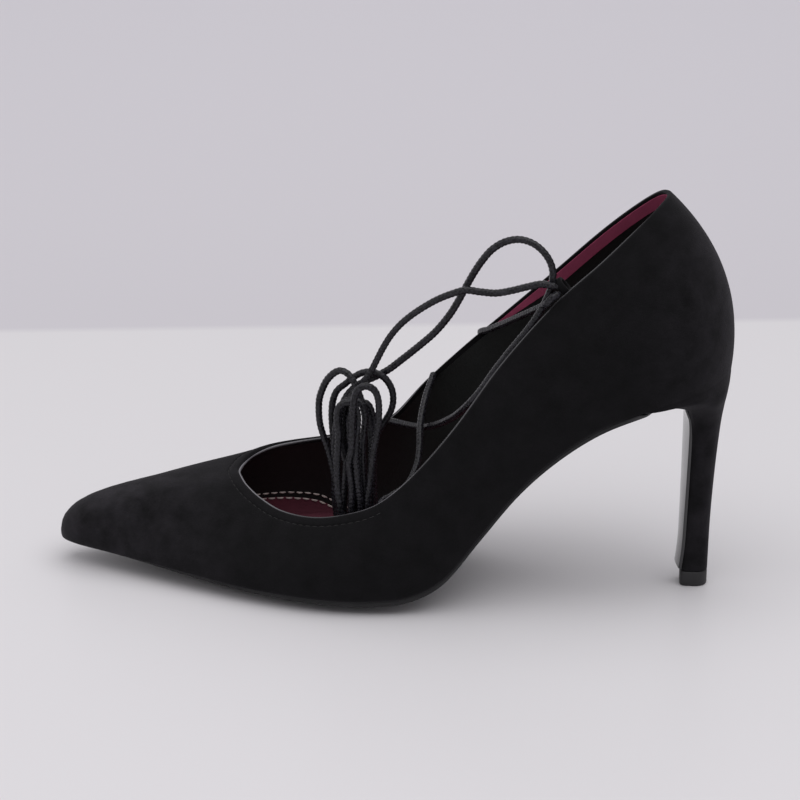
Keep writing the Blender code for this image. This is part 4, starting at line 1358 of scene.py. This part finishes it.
class PUMP_OT_bottom_shoe(bpy.types.Operator):
    """Bottoms the shoe with its leather sole, covered heel and rubber tip"""

    bl_idname = "pump.bottom_shoe"
    bl_label = "Bottom the shoe"

    def execute(self, context):
        sizes = context.scene.pump_sizes
        colours = context.scene.pump_colours
        fore = np.concatenate(
            [
                TOE_AHEAD - np.array(TOE_STEPS),
                np.arange(TOE_AHEAD - TOE_STEPS[-1] - SOLE_STEP, FULL_WIDTH_AHEAD, -SOLE_STEP),
                [FULL_WIDTH_AHEAD],
            ]
        )
        inset = np.interp(fore, (TREAD_AHEAD, TOE_INSET_AHEAD), (OUTSOLE_INSET, TOE_INSET))
        stations = [self.sole_rows(ahead, sizes.wall / MM - i) for ahead, i in zip(fore, inset)]
        stations += list(smooth_between([stations[-1]] + self.flap_rows(), FLAP_STEPS)[1:])
        sections = [ease_edges(above, below) for above, below in stations]
        sole = loft("leather_outsole", sections, painted_sole_leather(colours))
        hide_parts("outsole")
        heel = loft("suede_heel_cover", heel_rings(), bpy.data.materials["black_kid_suede"])
        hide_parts("heel")
        tip = HEEL[0]
        rings = []
        for up, inset in TIP_RINGS:
            outline = round_heel(tip.front - inset, tip.back + inset, tip.half_width - inset)
            rings.append(np.column_stack([outline, np.full(HEEL_SIDES, up)]))
        rubber = loft("rubber_heel_tip", rings, moulded_rubber(colours))
        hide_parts("top_piece")
        return {"FINISHED"}

    def sole_rows(self, ahead, edge):
        """Points across the sole at a station, above and below, bowed down in the middle of the tread."""
        outer, inner = feather_sides(ahead)
        lean = sole_slope(ahead)
        out = (outer + inner) / 2 + SOLE_SHARES * ((outer - inner) / 2 + edge)
        thick = np.interp(ahead, (SHANK_AHEAD, TREAD_AHEAD), (SHANK_THICK, TREAD_THICK)) * lean
        skived = np.interp(ahead, (SKIVE_AHEAD, TOE_AHEAD), (1, SKIVE_SHARE))
        near_edge = np.abs(SOLE_SHARES) ** 3
        above = bottom_up([ahead])[0] - GAP * lean - crown([ahead])[0] * (1 - SOLE_SHARES**2)
        below = np.maximum(0.0, above - skived * (thick * (1 - near_edge) + EDGE_THICK * near_edge))
        level = np.full(len(out), ahead)
        return np.column_stack([level, out, above]), np.column_stack([level, out, below])

    def flap_rows(self):
        """The same for the flap: its back face on the heel and its front face."""
        ways = np.gradient(np.array([(f.ahead, f.up) for f in FLAP]), axis=0)
        rows = []
        for flap, way in zip(FLAP, ways):
            facing = np.array([-way[1], way[0]]) / np.hypot(*way)
            out = SOLE_SHARES * flap.half_width
            ahead = flap.ahead - breast_skew(flap.up) * out
            middle = np.column_stack([ahead, out, np.full(len(out), flap.up)])
            outward = np.array([facing[0], 0.0, facing[1]])
            thick = FLAP_THICK + FLAP_CROWN * (1 - SOLE_SHARES**2)
            rows.append((middle - FLAP_BEDDED * outward, middle + thick[:, None] * outward))
        return rows


class PUMP_OT_fold_keeper(bpy.types.Operator):
    """Folds the small suede loop that holds the lace at the outer topline"""

    bl_idname = "pump.fold_keeper"
    bl_label = "Fold the keeper"

    def execute(self, context):
        turns = full_turn(KEEPER_SIDES)[:, None]
        tilts = full_turn(KEEPER_BAND_SIDES)[None, :]
        reach = KEEPER_RADIUS + KEEPER_HALF_THICK * squared(np.cos(tilts), KEEPER_SQUARENESS)
        along = KEEPER_HALF_WIDTH * squared(np.sin(tilts), KEEPER_SQUARENESS)
        rise = reach * np.sin(turns)
        points = np.stack(
            [
                KEEPER_AHEAD + along * math.cos(KEEPER_SLOPE) + rise * math.sin(KEEPER_SLOPE),
                KEEPER_OUT + reach * np.cos(turns),
                KEEPER_UP - along * math.sin(KEEPER_SLOPE) + rise * math.cos(KEEPER_SLOPE),
            ],
            axis=-1,
        )
        keeper = loft("suede_keeper", points, bpy.data.materials["black_kid_suede"], closed=True)
        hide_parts("keeper")
        return {"FINISHED"}


class VIEW3D_PT_pump(bpy.types.Panel):
    """Lists the steps that dress the pump"""

    bl_label = "Pump"
    bl_idname = "VIEW3D_PT_pump"
    bl_space_type = "VIEW_3D"
    bl_region_type = "UI"
    bl_category = "Pump"

    def draw(self, context):
        for group in (context.scene.pump_sizes, context.scene.pump_colours):
            for name in group.__annotations__:
                self.layout.prop(group, name)
        for step in STEPS:
            self.layout.operator(step.bl_idname)


STEPS = (
    PUMP_OT_set_stage,
    PUMP_OT_run_lace,
    PUMP_OT_last_upper,
    PUMP_OT_line_upper,
    PUMP_OT_lay_sock,
    PUMP_OT_bottom_shoe,
    PUMP_OT_fold_keeper,
)
CLASSES = (PumpSizes, PumpColours) + STEPS + (VIEW3D_PT_pump,)


def register():
    for kind in CLASSES:
        bpy.utils.register_class(kind)
    bpy.types.Scene.pump_sizes = bpy.props.PointerProperty(type=PumpSizes)
    bpy.types.Scene.pump_colours = bpy.props.PointerProperty(type=PumpColours)


def unregister():
    del bpy.types.Scene.pump_colours
    del bpy.types.Scene.pump_sizes
    for kind in reversed(CLASSES):
        bpy.utils.unregister_class(kind)


def main():
    register()
    bpy.ops.pump.set_stage()
    bpy.ops.pump.run_lace()
    bpy.ops.pump.last_upper()
    bpy.ops.pump.line_upper()
    bpy.ops.pump.lay_sock()
    bpy.ops.pump.bottom_shoe()
    bpy.ops.pump.fold_keeper()


if __name__ == "__main__":
    main()
